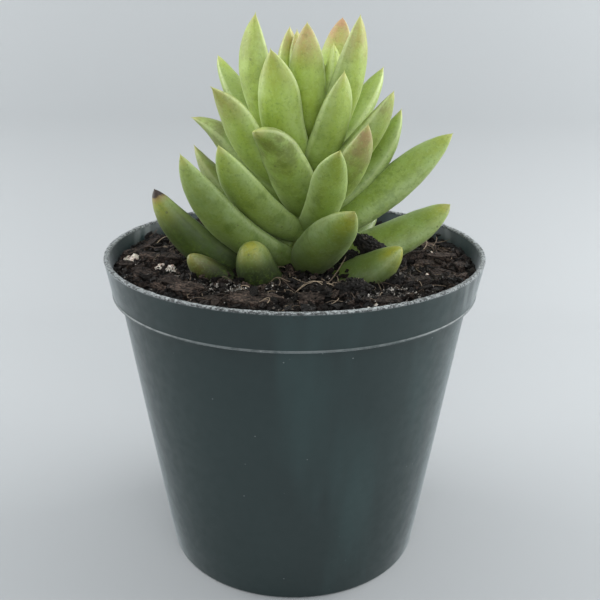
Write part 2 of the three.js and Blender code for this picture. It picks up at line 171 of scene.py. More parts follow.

# How far each leaf shows a pink tip, a golden tip, olive shading, a dead brown tip and the
# painted shade, with a deeper green, of leaves near the soil, from 0 to 1.
LEAF_TINTS = {
    0: (0.7, 0.1, 0, 0, 0), 2: (0.1, 0, 0, 0, 0), 3: (0.6, 0, 0, 0, 0), 4: (0.75, 0, 0.1, 0, 0),
    5: (1, 0, 0, 0, 0), 6: (0.1, 0.3, 0.35, 0, 0), 7: (0.45, 0, 0.25, 0, 0.05),
    9: (0.2, 0.1, 0, 0, 0), 10: (0, 0, 0.1, 0, 0.1), 11: (0, 0.1, 0, 0, 0.15),
    12: (0.1, 0, 0.1, 0, 0.1), 14: (0.3, 0.1, 0.15, 0, 0), 15: (0.15, 0, 0.5, 0, 0.2),
    19: (0.1, 0, 0.8, 0, 0.25), 20: (0.45, 0, 0.8, 0, 0.15), 22: (0, 0.1, 0.8, 0, 0.05),
    23: (0, 0, 0.2, 0, 0.25), 25: (0, 0.1, 0.1, 0, 0.1), 27: (0, 0.15, 0, 0, 0.2),
    28: (0, 0.25, 0.1, 0, 0.1), 32: (0.2, 0.2, 0.4, 0, 0.35), 35: (0, 0.3, 0.05, 0, 0.35),
    36: (0, 0.6, 0.2, 0.1, 0.15), 38: (0, 0.6, 0.3, 0.1, 0.3), 40: (0.05, 0.5, 0.1, 1, 0.95),
    41: (0, 1, 0.3, 0, 0.45), 43: (0, 0.9, 0.2, 0, 1), 48: (0.2, 0.8, 0.4, 0, 1),
}
USUAL_TINTS = (0.1, 0.1, 0.15, 0, 0.3)

# The camera, fitted to the pot's rim, band and base.

CAMERA_PLACE = Vector((1.86, -267.2, 181.5)) * MM
CAMERA_TILT = math.radians(70.1)
CAMERA_ROLL = math.radians(0.34)
CAMERA_LENS = 52.2          # in millimetres, on a 36 mm sensor

# Soft lamps: name, place and size in metres, share of the lamp power. All aim at the plant.

LAMPS = [
    ("overhead_lamp", (0, 0, 0.80), (0.8, 0.8), 0.16),
    ("left_lamp", (-0.55, 0.12, 0.32), (0.5, 0.5), 0.27),
    ("right_lamp", (0.55, 0.12, 0.32), (0.5, 0.5), 0.36),
    ("front_lamp", (0.1, -0.75, 0.5), (0.9, 0.6), 0.33),
]
LAMP_AIM = (0, 0, 0.1)


# Settings


def length_setting(name, description, default):
    return FloatProperty(name=name, description=description, default=default, min=0, unit="LENGTH")


def colour_setting(name, description, default):
    return FloatVectorProperty(
        name=name, description=description, default=default, size=3, min=0, max=1, subtype="COLOR"
    )


class PotSettings(bpy.types.PropertyGroup):
    """Sizes and colours of the nursery pot."""

    lip_roughness: length_setting(
        "Lip Roughness", "How far the trimmed lip is nicked and worn", 0.22 * MM
    )
    plastic: colour_setting("Plastic", "Colour of the moulded plastic", (0.013, 0.028, 0.028))
    # The pale colour of the worn lip and scuffs also paints the highlights on the band
    worn_and_highlight_plastic: colour_setting(
        "Worn Plastic", "Colour of the trimmed lip and of scuffs", (0.34, 0.37, 0.37)
    )


class SoilSettings(bpy.types.PropertyGroup):
    """What the potting mix is made of."""

    crumb_count: IntProperty(
        name="Crumbs", description="Crumbs of dark mix on the surface", default=5600, min=0
    )
    chip_count: IntProperty(
        name="Bark Chips", description="Small chips of bark on the surface", default=1700, min=0
    )
    grit_count: IntProperty(
        name="Grit", description="Pale grains of sand on the surface", default=2200, min=0
    )
    fibre_count: IntProperty(
        name="Fibres", description="Fine roots and fibres on the surface", default=260, min=0
    )
    dark_mix: colour_setting("Dark Mix", "Colour of the damp mix", (0.006, 0.0055, 0.005))
    bark: colour_setting("Bark", "Colour of the dry bark", (0.110, 0.078, 0.062))
    perlite: colour_setting("Perlite", "Colour of the perlite", (0.80, 0.75, 0.66))


class LeafSettings(bpy.types.PropertyGroup):
    """Colours of the leaves and how uneven their skin is."""

    unevenness: length_setting("Unevenness", "Height of the soft swellings of the skin", 0.16 * MM)
    young_flesh: colour_setting("Young Flesh", "Colour of young leaves", (0.36, 0.49, 0.060))
    old_flesh: colour_setting("Old Flesh", "Colour of old leaves", (0.135, 0.22, 0.026))
    # Painted shade: the near-black green that leaves near the soil are darkened to
    shaded_deep_flesh: colour_setting("Deep Flesh", "Colour of leaves near the soil", (0.024, 0.046, 0.007))
    wax_and_sheen: colour_setting("Wax", "Colour of the waxy bloom", (0.43, 0.55, 0.165))
    margin: colour_setting("Margin", "Colour of the thin edges", (0.60, 0.70, 0.34))
    blush: colour_setting("Blush", "Colour of sunburnt tips", (0.50, 0.21, 0.155))
    gold: colour_setting("Gold", "Colour of ripe tips", (0.32, 0.31, 0.010))


class StageSettings(bpy.types.PropertyGroup):
    """The plain sweep that the pot stands on, and its light."""

    paper: colour_setting("Sweep", "Colour of the floor and backdrop", (0.49, 0.51, 0.52))
    lamp_power: FloatProperty(
        name="Lamp Power",
        description="Power of the soft lamps together",
        default=12,
        min=0,
        unit="POWER",
    )
    sky_strength: FloatProperty(
        name="Sky Strength", description="Strength of the even light", default=0.38, min=0
    )


# Modelling helpers


def pick_only(obj):
    """Makes an object the active one and the only one selected."""
    bpy.ops.object.select_all(action="DESELECT")
    obj.select_set(True)
    bpy.context.view_layer.objects.active = obj


def take_new_object(name):
    """Names the object that an add operator has just made."""
    made = bpy.context.active_object
    made.name = name
    made.data.name = name
    return made


def open_for_editing(obj, select_mode="VERT"):
    """Opens one object in edit mode with nothing selected."""
    pick_only(obj)
    bpy.ops.object.mode_set(mode="EDIT")
    bpy.ops.mesh.select_mode(type=select_mode)
    bpy.ops.mesh.select_all(action="DESELECT")


def close_editing():
    bpy.ops.object.mode_set(mode="OBJECT")


def select_places(obj, chosen):
    """Opens one object in edit mode with only the vertices at chosen places selected."""
    open_for_editing(obj)
    close_editing()
    for vertex in obj.data.vertices:
        vertex.select = chosen(vertex.co)
    bpy.ops.object.mode_set(mode="EDIT")


def face_outward(obj):
    open_for_editing(obj)
    bpy.ops.mesh.select_all(action="SELECT")
    bpy.ops.mesh.normals_make_consistent(inside=False)
    close_editing()


def apply_modifier(obj, kind, **values):
    """Adds one modifier and applies it straight away."""
    pick_only(obj)
    modifier = obj.modifiers.new(kind.title(), kind)
    for key, value in values.items():
        setattr(modifier, key, value)
    bpy.ops.object.modifier_apply(modifier=modifier.name)


def smooth(obj, angle):
    """Shades an object smooth, except over edges sharper than the angle in degrees."""
    pick_only(obj)
    bpy.ops.object.shade_smooth_by_angle(angle=math.radians(angle))


def read_points(mesh):
    points = np.empty(len(mesh.vertices) * 3, np.float32)
    mesh.vertices.foreach_get("co", points)
    return points.reshape(-1, 3).astype(float)


def write_points(mesh, points):
    mesh.vertices.foreach_set("co", np.asarray(points, np.float32).ravel())
    mesh.update()


def write_attribute(mesh, name, values):
    """Stores one number for every vertex, for the materials to read."""
    attribute = mesh.attributes.get(name) or mesh.attributes.new(name, "FLOAT", "POINT")
    attribute.data.foreach_set("value", np.asarray(values, np.float32).ravel())


def write_vectors(mesh, name, values):
    attribute = mesh.attributes.get(name) or mesh.attributes.new(name, "FLOAT_VECTOR", "POINT")
    attribute.data.foreach_set("vector", np.asarray(values, np.float32).ravel())


def dress(obj, slot, *nodes, material=None):
    """Gives a finished piece its material and body, and hides the parts of the nodes that it stands
    for. The slot is not used.
    """
    if material is not None:
        obj.data.materials.clear()
        obj.data.materials.append(material)
    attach(obj, BODY)
    if nodes:
        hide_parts(*nodes)


def turned_profile(name, corners, segments):
    """Turns a profile, a list of (radius, height), and leaves its last ring selected."""
    radius, z = corners[0]
    bpy.ops.mesh.primitive_circle_add(vertices=segments, radius=radius, location=(0, 0, z))
    piece = take_new_object(name)
    bpy.ops.object.transform_apply()
    open_for_editing(piece)
    bpy.ops.mesh.select_all(action="SELECT")
    for next_radius, next_z in corners[1:]:
        bpy.ops.mesh.extrude_edges_move(TRANSFORM_OT_translate={"value": (0, 0, next_z - z)})
        grow = next_radius / radius
        bpy.ops.transform.resize(value=(grow, grow, 1), center_override=(0, 0, next_z))
        radius, z = next_radius, next_z
    return piece


def fill_first_ring(piece, radius, z):
    """Closes the ring that a turned profile starts from, and faces the piece outward."""
    select_places(
        piece, lambda place: abs(place.z - z) < 1e-6 and abs(place.xy.length - radius) < 1e-5
    )
    bpy.ops.mesh.edge_face_add()
    close_editing()
    face_outward(piece)


def ringed_bar(name, sides, cuts):
    """A straight round bar from z 0 to 1, cut into rings and closed by a pole at each end."""
    bpy.ops.mesh.primitive_cylinder_add(
        vertices=sides, radius=1, depth=1, end_fill_type="TRIFAN", location=(0, 0, 0.5)
    )
    bar = take_new_object(name)
    bpy.ops.object.transform_apply()
    open_for_editing(bar, "EDGE")
    close_editing()
    ends = read_points(bar.data)
    for edge in bar.data.edges:
        low, high = (ends[i][2] for i in edge.vertices)
        edge.select = abs(low - high) > 0.5
    bpy.ops.object.mode_set(mode="EDIT")
    bpy.ops.mesh.subdivide(number_cuts=cuts)
    close_editing()
    return bar


# Materials


class Shade:
    """Builds one node material, a step at a time."""

    def __init__(self, name):
        self.material = bpy.data.materials.new(name)
        self.material.use_nodes = True
        self.tree = self.material.node_tree
        self.shader = self.tree.nodes["Principled BSDF"]
        self.place = self.add("ShaderNodeTexCoord").outputs["Object"]

    def add(self, kind, **values):
        node = self.tree.nodes.new(kind)
        for key, value in values.items():
            setattr(node, key, value)
        return node

    def plug(self, value, socket):
        """Links another node's output, or sets a plain number or colour."""
        if isinstance(value, bpy.types.NodeSocket):
            self.tree.links.new(value, socket)
        elif hasattr(value, "__len__") and len(value) == 3 and len(socket.default_value) == 4:
            socket.default_value = (*value, 1)
        else:
            socket.default_value = value

    def set(self, **values):
        """Sets or links the shader's own sockets, named with underscores."""
        for key, value in values.items():
            self.plug(value, self.shader.inputs[key.replace("_", " ")])

    def attribute(self, name, output="Fac"):
        return self.add("ShaderNodeAttribute", attribute_name=name).outputs[output]

    def scaled(self, vector, scale):
        node = self.add("ShaderNodeMapping")
        self.plug(vector, node.inputs["Vector"])
        node.inputs["Scale"].default_value = scale
        return node.outputs["Vector"]

    def noise(self, scale, detail=3, roughness=0.5, vector=None, distortion=0):
        node = self.add("ShaderNodeTexNoise")
        self.plug(self.place if vector is None else vector, node.inputs["Vector"])
        node.inputs["Scale"].default_value = scale
        node.inputs["Detail"].default_value = detail
        node.inputs["Roughness"].default_value = roughness
        node.inputs["Distortion"].default_value = distortion
        return node.outputs["Fac"]

    def cells(self, scale, output="Distance", vector=None, feature="F1", jitter=1):
        node = self.add("ShaderNodeTexVoronoi", feature=feature)
        self.plug(self.place if vector is None else vector, node.inputs["Vector"])
        node.inputs["Scale"].default_value = scale
        node.inputs["Randomness"].default_value = jitter
        return node.outputs[output]

    def spread(self, value, low, high, to_low=0, to_high=1):
        """Maps a range of values smoothly on to another."""
        node = self.add("ShaderNodeMapRange", interpolation_type="SMOOTHSTEP")
        self.plug(value, node.inputs["Value"])
        node.inputs["From Min"].default_value = low
        node.inputs["From Max"].default_value = high
        node.inputs["To Min"].default_value = to_low
        node.inputs["To Max"].default_value = to_high
        return node.outputs["Result"]

    def maths(self, operation, a, b=0.0):
        node = self.add("ShaderNodeMath", operation=operation)
        self.plug(a, node.inputs[0])
        self.plug(b, node.inputs[1])
        return node.outputs[0]

    def times(self, *values):
        result = values[0]
        for value in values[1:]:
            result = self.maths("MULTIPLY", result, value)
        return result

    def mix(self, amount, a, b, blend="MIX"):
        node = self.add("ShaderNodeMix", data_type="RGBA", blend_type=blend)
        self.plug(amount, node.inputs["Factor"])
        self.plug(a, node.inputs[6])
        self.plug(b, node.inputs[7])
        return node.outputs[2]

    def coordinate(self, axis):
        node = self.add("ShaderNodeSeparateXYZ")
        self.plug(self.place, node.inputs[0])
        return node.outputs[axis]

    def bump(self, height, distance, strength=1.0, after=None):
        """Raises the surface by height times distance, in metres."""
        node = self.add("ShaderNodeBump")
        node.inputs["Strength"].default_value = strength
        node.inputs["Distance"].default_value = distance
        self.plug(height, node.inputs["Height"])
        if after is not None:
            self.plug(after, node.inputs["Normal"])
        return node.outputs["Normal"]


def waxy_leaf_skin(colours):
    """Green flesh under a pale wax, with painted sheen towards the margins, lighter edges, painted
    shade near the soil, tinted tips and small dark flecks.
    """
    skin = Shade("waxy_leaf_skin")
    along = skin.attribute("along")
    margin = skin.attribute("margin")
    age = skin.attribute("age")
    blush, gold = skin.attribute("blush"), skin.attribute("gold")
    olive, dead = skin.attribute("olive"), skin.attribute("dead")
    # How far painted shade, with a deeper green, darkens a leaf near the soil
    deep_green_and_shade = skin.attribute("deep_green_and_shade")
    patches = skin.noise(95, detail=3)
    clouds = skin.noise(190, detail=4, roughness=0.6)
    mottle = skin.noise(560, detail=5, roughness=0.65)
    grained = skin.scaled(skin.attribute("skin", "Vector"), (1, 1, 0.2))
    streaks = skin.noise(700, detail=3, vector=grained)

    # Flesh, darker at the heart, with painted shade and a deeper green low on leaves near the soil
    colour = skin.mix(age, tuple(colours.young_flesh), tuple(colours.old_flesh))
    colour = skin.mix(skin.spread(clouds, 0.35, 0.65, 0, 0.35), colour, (0.31, 0.38, 0.03))
    heart = skin.times(skin.spread(along, 0.08, 0.4, 1, 0), 0.4)
    colour = skin.mix(heart, colour, (0.13, 0.22, 0.02))
    shadowed = skin.times(deep_green_and_shade, skin.spread(along, 0.78, 0.985, 1, 0))
    colour = skin.mix(skin.times(shadowed, 0.92), colour, tuple(colours.shaded_deep_flesh))

    # Wax in patches, with painted sheen as paler wax towards the margins, and less and darker wax in
    # the painted shade near the soil
    wax_and_sheen = skin.spread(patches, 0.35, 0.65, 0.32, 0.03)
    # Painted sheen: the wax grows paler towards the margins, where the sides of a leaf turn away
    wax_and_sheen = skin.maths("ADD", wax_and_sheen, skin.spread(margin, 0.3, 0.98, 0, 0.62))
    lower = skin.times(skin.spread(along, 0.25, 0.8, 0.3, 0.05), age)
    wax_and_sheen = skin.times(skin.maths("ADD", wax_and_sheen, lower), skin.spread(mottle, 0.3, 0.7, 0.65, 1.2))
    wax_and_sheen = skin.times(wax_and_sheen, skin.spread(along, 0.05, 0.3, 0.35, 1))
    wax_and_sheen = skin.times(wax_and_sheen, skin.spread(shadowed, 0, 1, 1, 0.6))
    bloom = skin.mix(age, tuple(colours.wax_and_sheen), (0.27, 0.37, 0.155))
    bloom = skin.mix(skin.times(shadowed, 0.9), bloom, (0.050, 0.085, 0.028))
    colour = skin.mix(wax_and_sheen, colour, bloom)
    colour = skin.mix(skin.spread(streaks, 0.4, 0.8, 0, 0.2), colour, (0.17, 0.26, 0.04))

    # Tinted tips and pale edges
    shaded = skin.times(olive, skin.spread(along, 0.3, 0.85), skin.spread(clouds, 0.35, 0.6))
    colour = skin.mix(skin.times(shaded, 0.75), colour, (0.12, 0.125, 0.03))
    crest = skin.spread(margin, 0.95, 0.5, 0, 1)
    gilt = skin.times(gold, skin.spread(along, 0.80, 0.975), skin.spread(clouds, 0.2, 0.6, 0.5, 1))
    gilt = skin.times(gilt, skin.spread(crest, 0, 1, 0.35, 0.85))
    colour = skin.mix(gilt, colour, tuple(colours.gold))
    burnt = skin.times(blush, skin.spread(along, 0.66, 0.97), skin.spread(clouds, 0.3, 0.65, 0.55, 1))
    colour = skin.mix(skin.times(burnt, 0.85), colour, tuple(colours.blush))
    young = skin.spread(age, 0.2, 0.7, 0.55, 0.12)
    edge = skin.times(skin.spread(margin, 0.94, 0.999), skin.spread(along, 0.1, 0.35), young)
    colour = skin.mix(edge, colour, tuple(colours.margin))
    tinted = skin.maths("MAXIMUM", blush, gold)
    untinted = skin.maths("SUBTRACT", 1, skin.times(tinted, 0.75))
    tip = skin.times(skin.spread(along, 0.93, 0.99), untinted)
    colour = skin.mix(skin.times(tip, 0.6), colour, (0.48, 0.46, 0.16))

    # Dark clouds, painted shade near the soil, flecks, specks and pits
    darker = skin.times(skin.spread(clouds, 0.5, 0.68), skin.spread(age, 0.1, 0.9, 0.15, 0.5))
    darker = skin.times(darker, skin.spread(along, 0.6, 0.9, 1, 0))
    colour = skin.mix(darker, colour, (0.06, 0.12, 0.012))
    # Painted shade: leaves near the soil grow darker towards the bottom, by height
    painted_soil_shade = skin.times(deep_green_and_shade, skin.spread(skin.coordinate("Z"), 0.0985, 0.112, 1, 0), 0.92)
    colour = skin.mix(painted_soil_shade, colour, (0.016, 0.024, 0.008))
    spots = skin.cells(330)
    rare = skin.spread(skin.cells(330, "Color"), 0.72, 0.76)
    flecks = skin.times(skin.spread(spots, 0.08, 0.18, 1, 0), rare, skin.spread(age, 0, 1, 0.4, 0.8))
    colour = skin.mix(flecks, colour, (0.09, 0.10, 0.03))
    specks = skin.spread(skin.noise(1500, detail=3), 0.52, 0.68)
    colour = skin.mix(skin.times(specks, 0.32), colour, bloom)
    pits = skin.spread(skin.noise(1000, detail=5, roughness=0.7), 0.50, 0.68)
    colour = skin.mix(skin.times(pits, skin.spread(age, 0, 1, 0.3, 0.55)), colour, (0.10, 0.16, 0.02))

    # The withered tip
    charred_from = skin.maths("ADD", along, skin.times(mottle, 0.05))
    scorched = skin.times(dead, skin.spread(charred_from, 0.985, 0.998))
    ring = skin.times(dead, skin.spread(along, 0.925, 0.975))
    colour = skin.mix(skin.times(ring, 0.7), colour, (0.22, 0.09, 0.04))
    colour = skin.mix(scorched, colour, (0.028, 0.014, 0.010))

    # Surface
    rough = skin.spread(mottle, 0.2, 0.8, 0.40, 0.58)
    sheen = skin.spread(shadowed, 0, 0.8, 0.11, 0.02)
    normal = skin.bump(skin.noise(1500, detail=4), 0.00012, 0.55)
    normal = skin.bump(skin.noise(260, detail=2), 0.0005, 0.4, after=normal)
    skin.set(Base_Color=colour, Roughness=rough, Normal=normal)
    skin.set(Subsurface_Weight=0.15, Subsurface_Radius=(1.0, 0.9, 0.25), Subsurface_Scale=0.002)
    skin.set(Specular_IOR_Level=0.5, Sheen_Weight=sheen, Sheen_Roughness=0.45)
    skin.set(Sheen_Tint=(0.82, 0.92, 0.58))
    return skin.material


def stem_skin():
    """Pale green skin, crossed by the scars of old leaves."""
    stem = Shade("pale_stem_skin")
    mottle = stem.noise(500, detail=4)
    colour = stem.mix(stem.spread(mottle, 0.3, 0.75), (0.34, 0.44, 0.14), (0.20, 0.27, 0.08))
    scars = stem.spread(stem.cells(260, feature="DISTANCE_TO_EDGE"), 0.02, 0.08, 1, 0)
    colour = stem.mix(stem.times(scars, 0.5), colour, (0.16, 0.12, 0.05))
    stem.set(Base_Color=colour, Roughness=0.6, Normal=stem.bump(mottle, 0.0004, 0.6))
    stem.set(Subsurface_Weight=0.1, Subsurface_Scale=0.002)
    return stem.material


def moulded_plastic(colours):
    """Dull dark plastic with fine scuffs, moulding marks, painted highlights on the band and a pale,
    gritty trimmed lip.
    """
    pot = Shade("moulded_pot_plastic")
    broad = pot.noise(18, detail=2)
    flow = pot.noise(60, detail=3, vector=pot.scaled(pot.place, (1, 1, 0.12)))
    grain = pot.noise(2400, detail=3, roughness=0.6)
    z = pot.coordinate("Z")
    base = tuple(colours.plastic)
    # Pale wear, also used for the painted highlights on the band
    wear_and_highlight = tuple(colours.worn_and_highlight_plastic)
    colour = pot.mix(pot.spread(broad, 0.3, 0.7), base, tuple(0.84 * c for c in base))
    colour = pot.mix(pot.spread(flow, 0.5, 0.75, 0, 0.6), colour, tuple(1.9 * c for c in base))
    scuffs = pot.noise(160, detail=4, vector=pot.scaled(pot.place, (1, 1, 0.4)), distortion=0.6)
    scuffed = pot.times(pot.spread(scuffs, 0.62, 0.72), pot.spread(broad, 0.4, 0.6))
    colour = pot.mix(pot.times(scuffed, 0.25), colour, tuple(0.45 * c for c in base))
    # Painted highlight: a paler line along the small ridge at the bottom of the band
    ridge_highlight = pot.times(pot.spread(z, 0.0905, 0.0907), pot.spread(z, 0.0913, 0.0915, 1, 0))
    ridge_highlight = pot.times(ridge_highlight, pot.spread(pot.noise(500, detail=3), 0.3, 0.6, 0.4, 1), 0.3)
    colour = pot.mix(ridge_highlight, colour, wear_and_highlight)
    specks = pot.spread(pot.cells(420), 0.05, 0.10, 1, 0)
    chosen = pot.spread(pot.cells(420, "Color"), 0.80, 0.83)
    colour = pot.mix(pot.times(specks, chosen, 0.55), colour, wear_and_highlight)
    dirt_near_lip = pot.spread(z, 0.092, 0.1025, 0, 1)
    dirt = pot.times(pot.spread(pot.noise(700, detail=5, roughness=0.7), 0.60, 0.68), dirt_near_lip)
    colour = pot.mix(pot.times(dirt, 0.75), colour, (0.015, 0.017, 0.017))

    # Painted highlights: pale vertical streaks on the band near its left and right sides
    x = pot.coordinate("X")
    for streak_x in SIDE_HIGHLIGHT_STREAKS:
        beside = pot.maths("ABSOLUTE", pot.maths("SUBTRACT", x, streak_x))
        highlight_streak = pot.times(pot.spread(beside, 0.0003, 0.0011, 1, 0), pot.spread(z, 0.091, 0.096))
        highlight_streak = pot.times(highlight_streak, pot.spread(flow, 0.3, 0.6, 0.3, 1), 0.22)
        colour = pot.mix(highlight_streak, colour, wear_and_highlight)

    lip = pot.spread(z, POT_HEIGHT - 0.0009, POT_HEIGHT - 0.0003)
    grit = pot.spread(pot.noise(1300, detail=4, roughness=0.7), 0.44, 0.54)
    lip_colour = pot.mix(grit, wear_and_highlight, tuple(0.2 * c for c in wear_and_highlight))
    crumbs = pot.spread(pot.noise(800, detail=5, roughness=0.75), 0.57, 0.62)
    lip_colour = pot.mix(crumbs, lip_colour, (0.012, 0.012, 0.011))
    colour = pot.mix(lip, colour, lip_colour)

    rough = pot.spread(pot.noise(300, detail=4), 0.25, 0.75, 0.40, 0.52)
    rough = pot.maths("ADD", rough, pot.times(lip, 0.25))
    normal = pot.bump(grain, 0.00006, 0.35)
    normal = pot.bump(flow, 0.0006, 0.25, after=normal)
    normal = pot.bump(pot.times(grit, lip), 0.0003, 0.8, after=normal)
    pot.set(Base_Color=colour, Roughness=rough, Normal=normal, Specular_IOR_Level=0.5)
    pot.set(Sheen_Weight=0.55, Sheen_Roughness=0.25, Sheen_Tint=(0.9, 0.97, 1.0))
    return pot.material


def damp_mix(colours):
    """Nearly black damp mix, with paler crumbs and a few painted glints."""
    mix = Shade("damp_potting_mix")
    clods = mix.noise(500, detail=6, roughness=0.7)
    grains = mix.cells(1300)
    tone = mix.attribute("tone")
    dark = tuple(colours.dark_mix)
    colour = mix.mix(mix.spread(clods, 0.35, 0.75), dark, tuple(2.8 * c for c in dark))
    colour = mix.mix(mix.times(tone, mix.spread(clods, 0.2, 0.6)), colour, (0.034, 0.027, 0.023))
    # Painted highlights: a few bright specks in the colour stand in for glints
    glints = mix.spread(mix.cells(1400, "Color"), 0.90, 0.93)
    colour = mix.mix(mix.times(glints, 0.5), colour, (0.35, 0.30, 0.25))
    normal = mix.bump(clods, 0.0012, 0.9)
    normal = mix.bump(grains, 0.0005, 0.8, after=normal)
    mix.set(Base_Color=colour, Roughness=mix.spread(clods, 0.3, 0.7, 0.45, 0.9), Normal=normal)
    mix.set(Specular_IOR_Level=0.25)
    return mix.material


def dry_bark(colours):
    """Fibrous bark, whose grain runs along each chip."""
    bark = Shade("dry_bark")
    grain_place = bark.attribute("grain", "Vector")
    fibres = bark.noise(9, detail=6, roughness=0.7, vector=bark.scaled(grain_place, (0.75, 1.9, 2.4)))
    patches = bark.noise(500, detail=4)
    tone = bark.attribute("tone")
    brown = tuple(colours.bark)
    colour = bark.mix(tone, tuple(0.05 * c for c in brown), tuple(2.2 * c for c in brown))
    colour = bark.mix(bark.spread(fibres, 0.38, 0.62), tuple(0.07 * c for c in brown), colour)
    grey = bark.times(bark.spread(patches, 0.5, 0.75), tone, 0.7)
    colour = bark.mix(grey, colour, (0.16, 0.13, 0.11))
    light_fibres = bark.times(bark.spread(fibres, 0.62, 0.74), tone, 0.7)
    colour = bark.mix(light_fibres, colour, (0.42, 0.30, 0.20))
    cracks = bark.spread(bark.cells(420, feature="DISTANCE_TO_EDGE"), 0.02, 0.12, 1, 0)
    colour = bark.mix(bark.times(cracks, 0.6), colour, tuple(0.05 * c for c in brown))
    normal = bark.bump(fibres, 0.0016, 0.9)
    normal = bark.bump(cracks, -0.0008, 0.7, after=normal)
    normal = bark.bump(bark.noise(1300, detail=5), 0.0006, 0.9, after=normal)
    bark.set(Base_Color=colour, Roughness=0.75, Normal=normal, Specular_IOR_Level=0.22)
    return bark.material


def porous_perlite(colours):
    """White stone with brown in its pores."""
    stone = Shade("porous_perlite")
    pores = stone.noise(1400, detail=4, roughness=0.65)
    white = tuple(colours.perlite)
    colour = stone.mix(stone.spread(pores, 0.35, 0.6), (0.30, 0.24, 0.19), white)
    colour = stone.mix(stone.spread(stone.noise(350), 0.55, 0.75, 0, 0.6), colour, (0.42, 0.33, 0.25))
    stone.set(Base_Color=colour, Roughness=0.9, Normal=stone.bump(pores, 0.0006, 0.9))
    stone.set(Subsurface_Weight=0.1, Subsurface_Scale=0.001)
    return stone.material


def sharp_grit():
    grit = Shade("sharp_grit")
    tone = grit.attribute("tone")
    colour = grit.mix(tone, (0.05, 0.045, 0.04), (0.62, 0.58, 0.52))
    grit.set(Base_Color=colour, Roughness=grit.spread(grit.noise(2000), 0.3, 0.7, 0.25, 0.6))
    return grit.material


def dry_fibre():
    fibre = Shade("dry_fibre")
    tone = fibre.attribute("tone")
    colour = fibre.mix(tone, (0.06, 0.038, 0.026), (0.46, 0.36, 0.25))
    dark_bits = fibre.spread(fibre.noise(900, detail=4), 0.5, 0.7, 0, 0.6)
    colour = fibre.mix(dark_bits, colour, (0.05, 0.035, 0.025))
    fibre.set(Base_Color=colour, Roughness=0.85)
    return fibre.material


def plain_paper(colour):
    """Dull paper, with painted shade that makes it a little darker where it lies flat."""
    paper = Shade("plain_sweep")
    tooth = paper.noise(900, detail=3)
    base = tuple(colour)
    tint = paper.mix(paper.spread(tooth, 0.3, 0.7), base, tuple(0.975 * c for c in base))
    # Painted shade: darker towards the floor
    tint = paper.mix(paper.spread(paper.coordinate("Z"), 0, 0.45), tuple(0.82 * c for c in base), tint)
    paper.set(Base_Color=tint, Roughness=0.9, Specular_IOR_Level=0.2)
    return paper.material


# Pot


def rim_bulge(x, y, z):
    """How far the pot's upper wall is pushed outward there, as the thin rim is out of round."""
    turn = math.atan2(y, x) - BULGE_TOWARDS
    reach = max(math.cos(turn), 0) ** 3 - 0.25 * max(-math.cos(turn), 0) ** 2
    return BULGE * reach * min(max((z - 0.06) / (POT_HEIGHT - 0.06), 0), 1) ** 1.5


def pot_outer_radius(z):
    return BASE_RADIUS + (BODY_TOP_RADIUS - BASE_RADIUS) * z / BAND_BOTTOM_Z


def pot_inner_radius(z):
    if z < BAND_BOTTOM_Z - 1 * MM:
        return pot_outer_radius(z) - WALL
    band = BAND_BOTTOM_RADIUS - WALL
    share = (z - BAND_BOTTOM_Z - 1.2 * MM) / (POT_HEIGHT - 0.7 * MM - BAND_BOTTOM_Z - 1.2 * MM)
    if share < 0:
        return BODY_TOP_RADIUS - WALL
    return band + (RIM_RADIUS - LIP_WIDTH - 0.1 * MM - band) * min(share, 1)


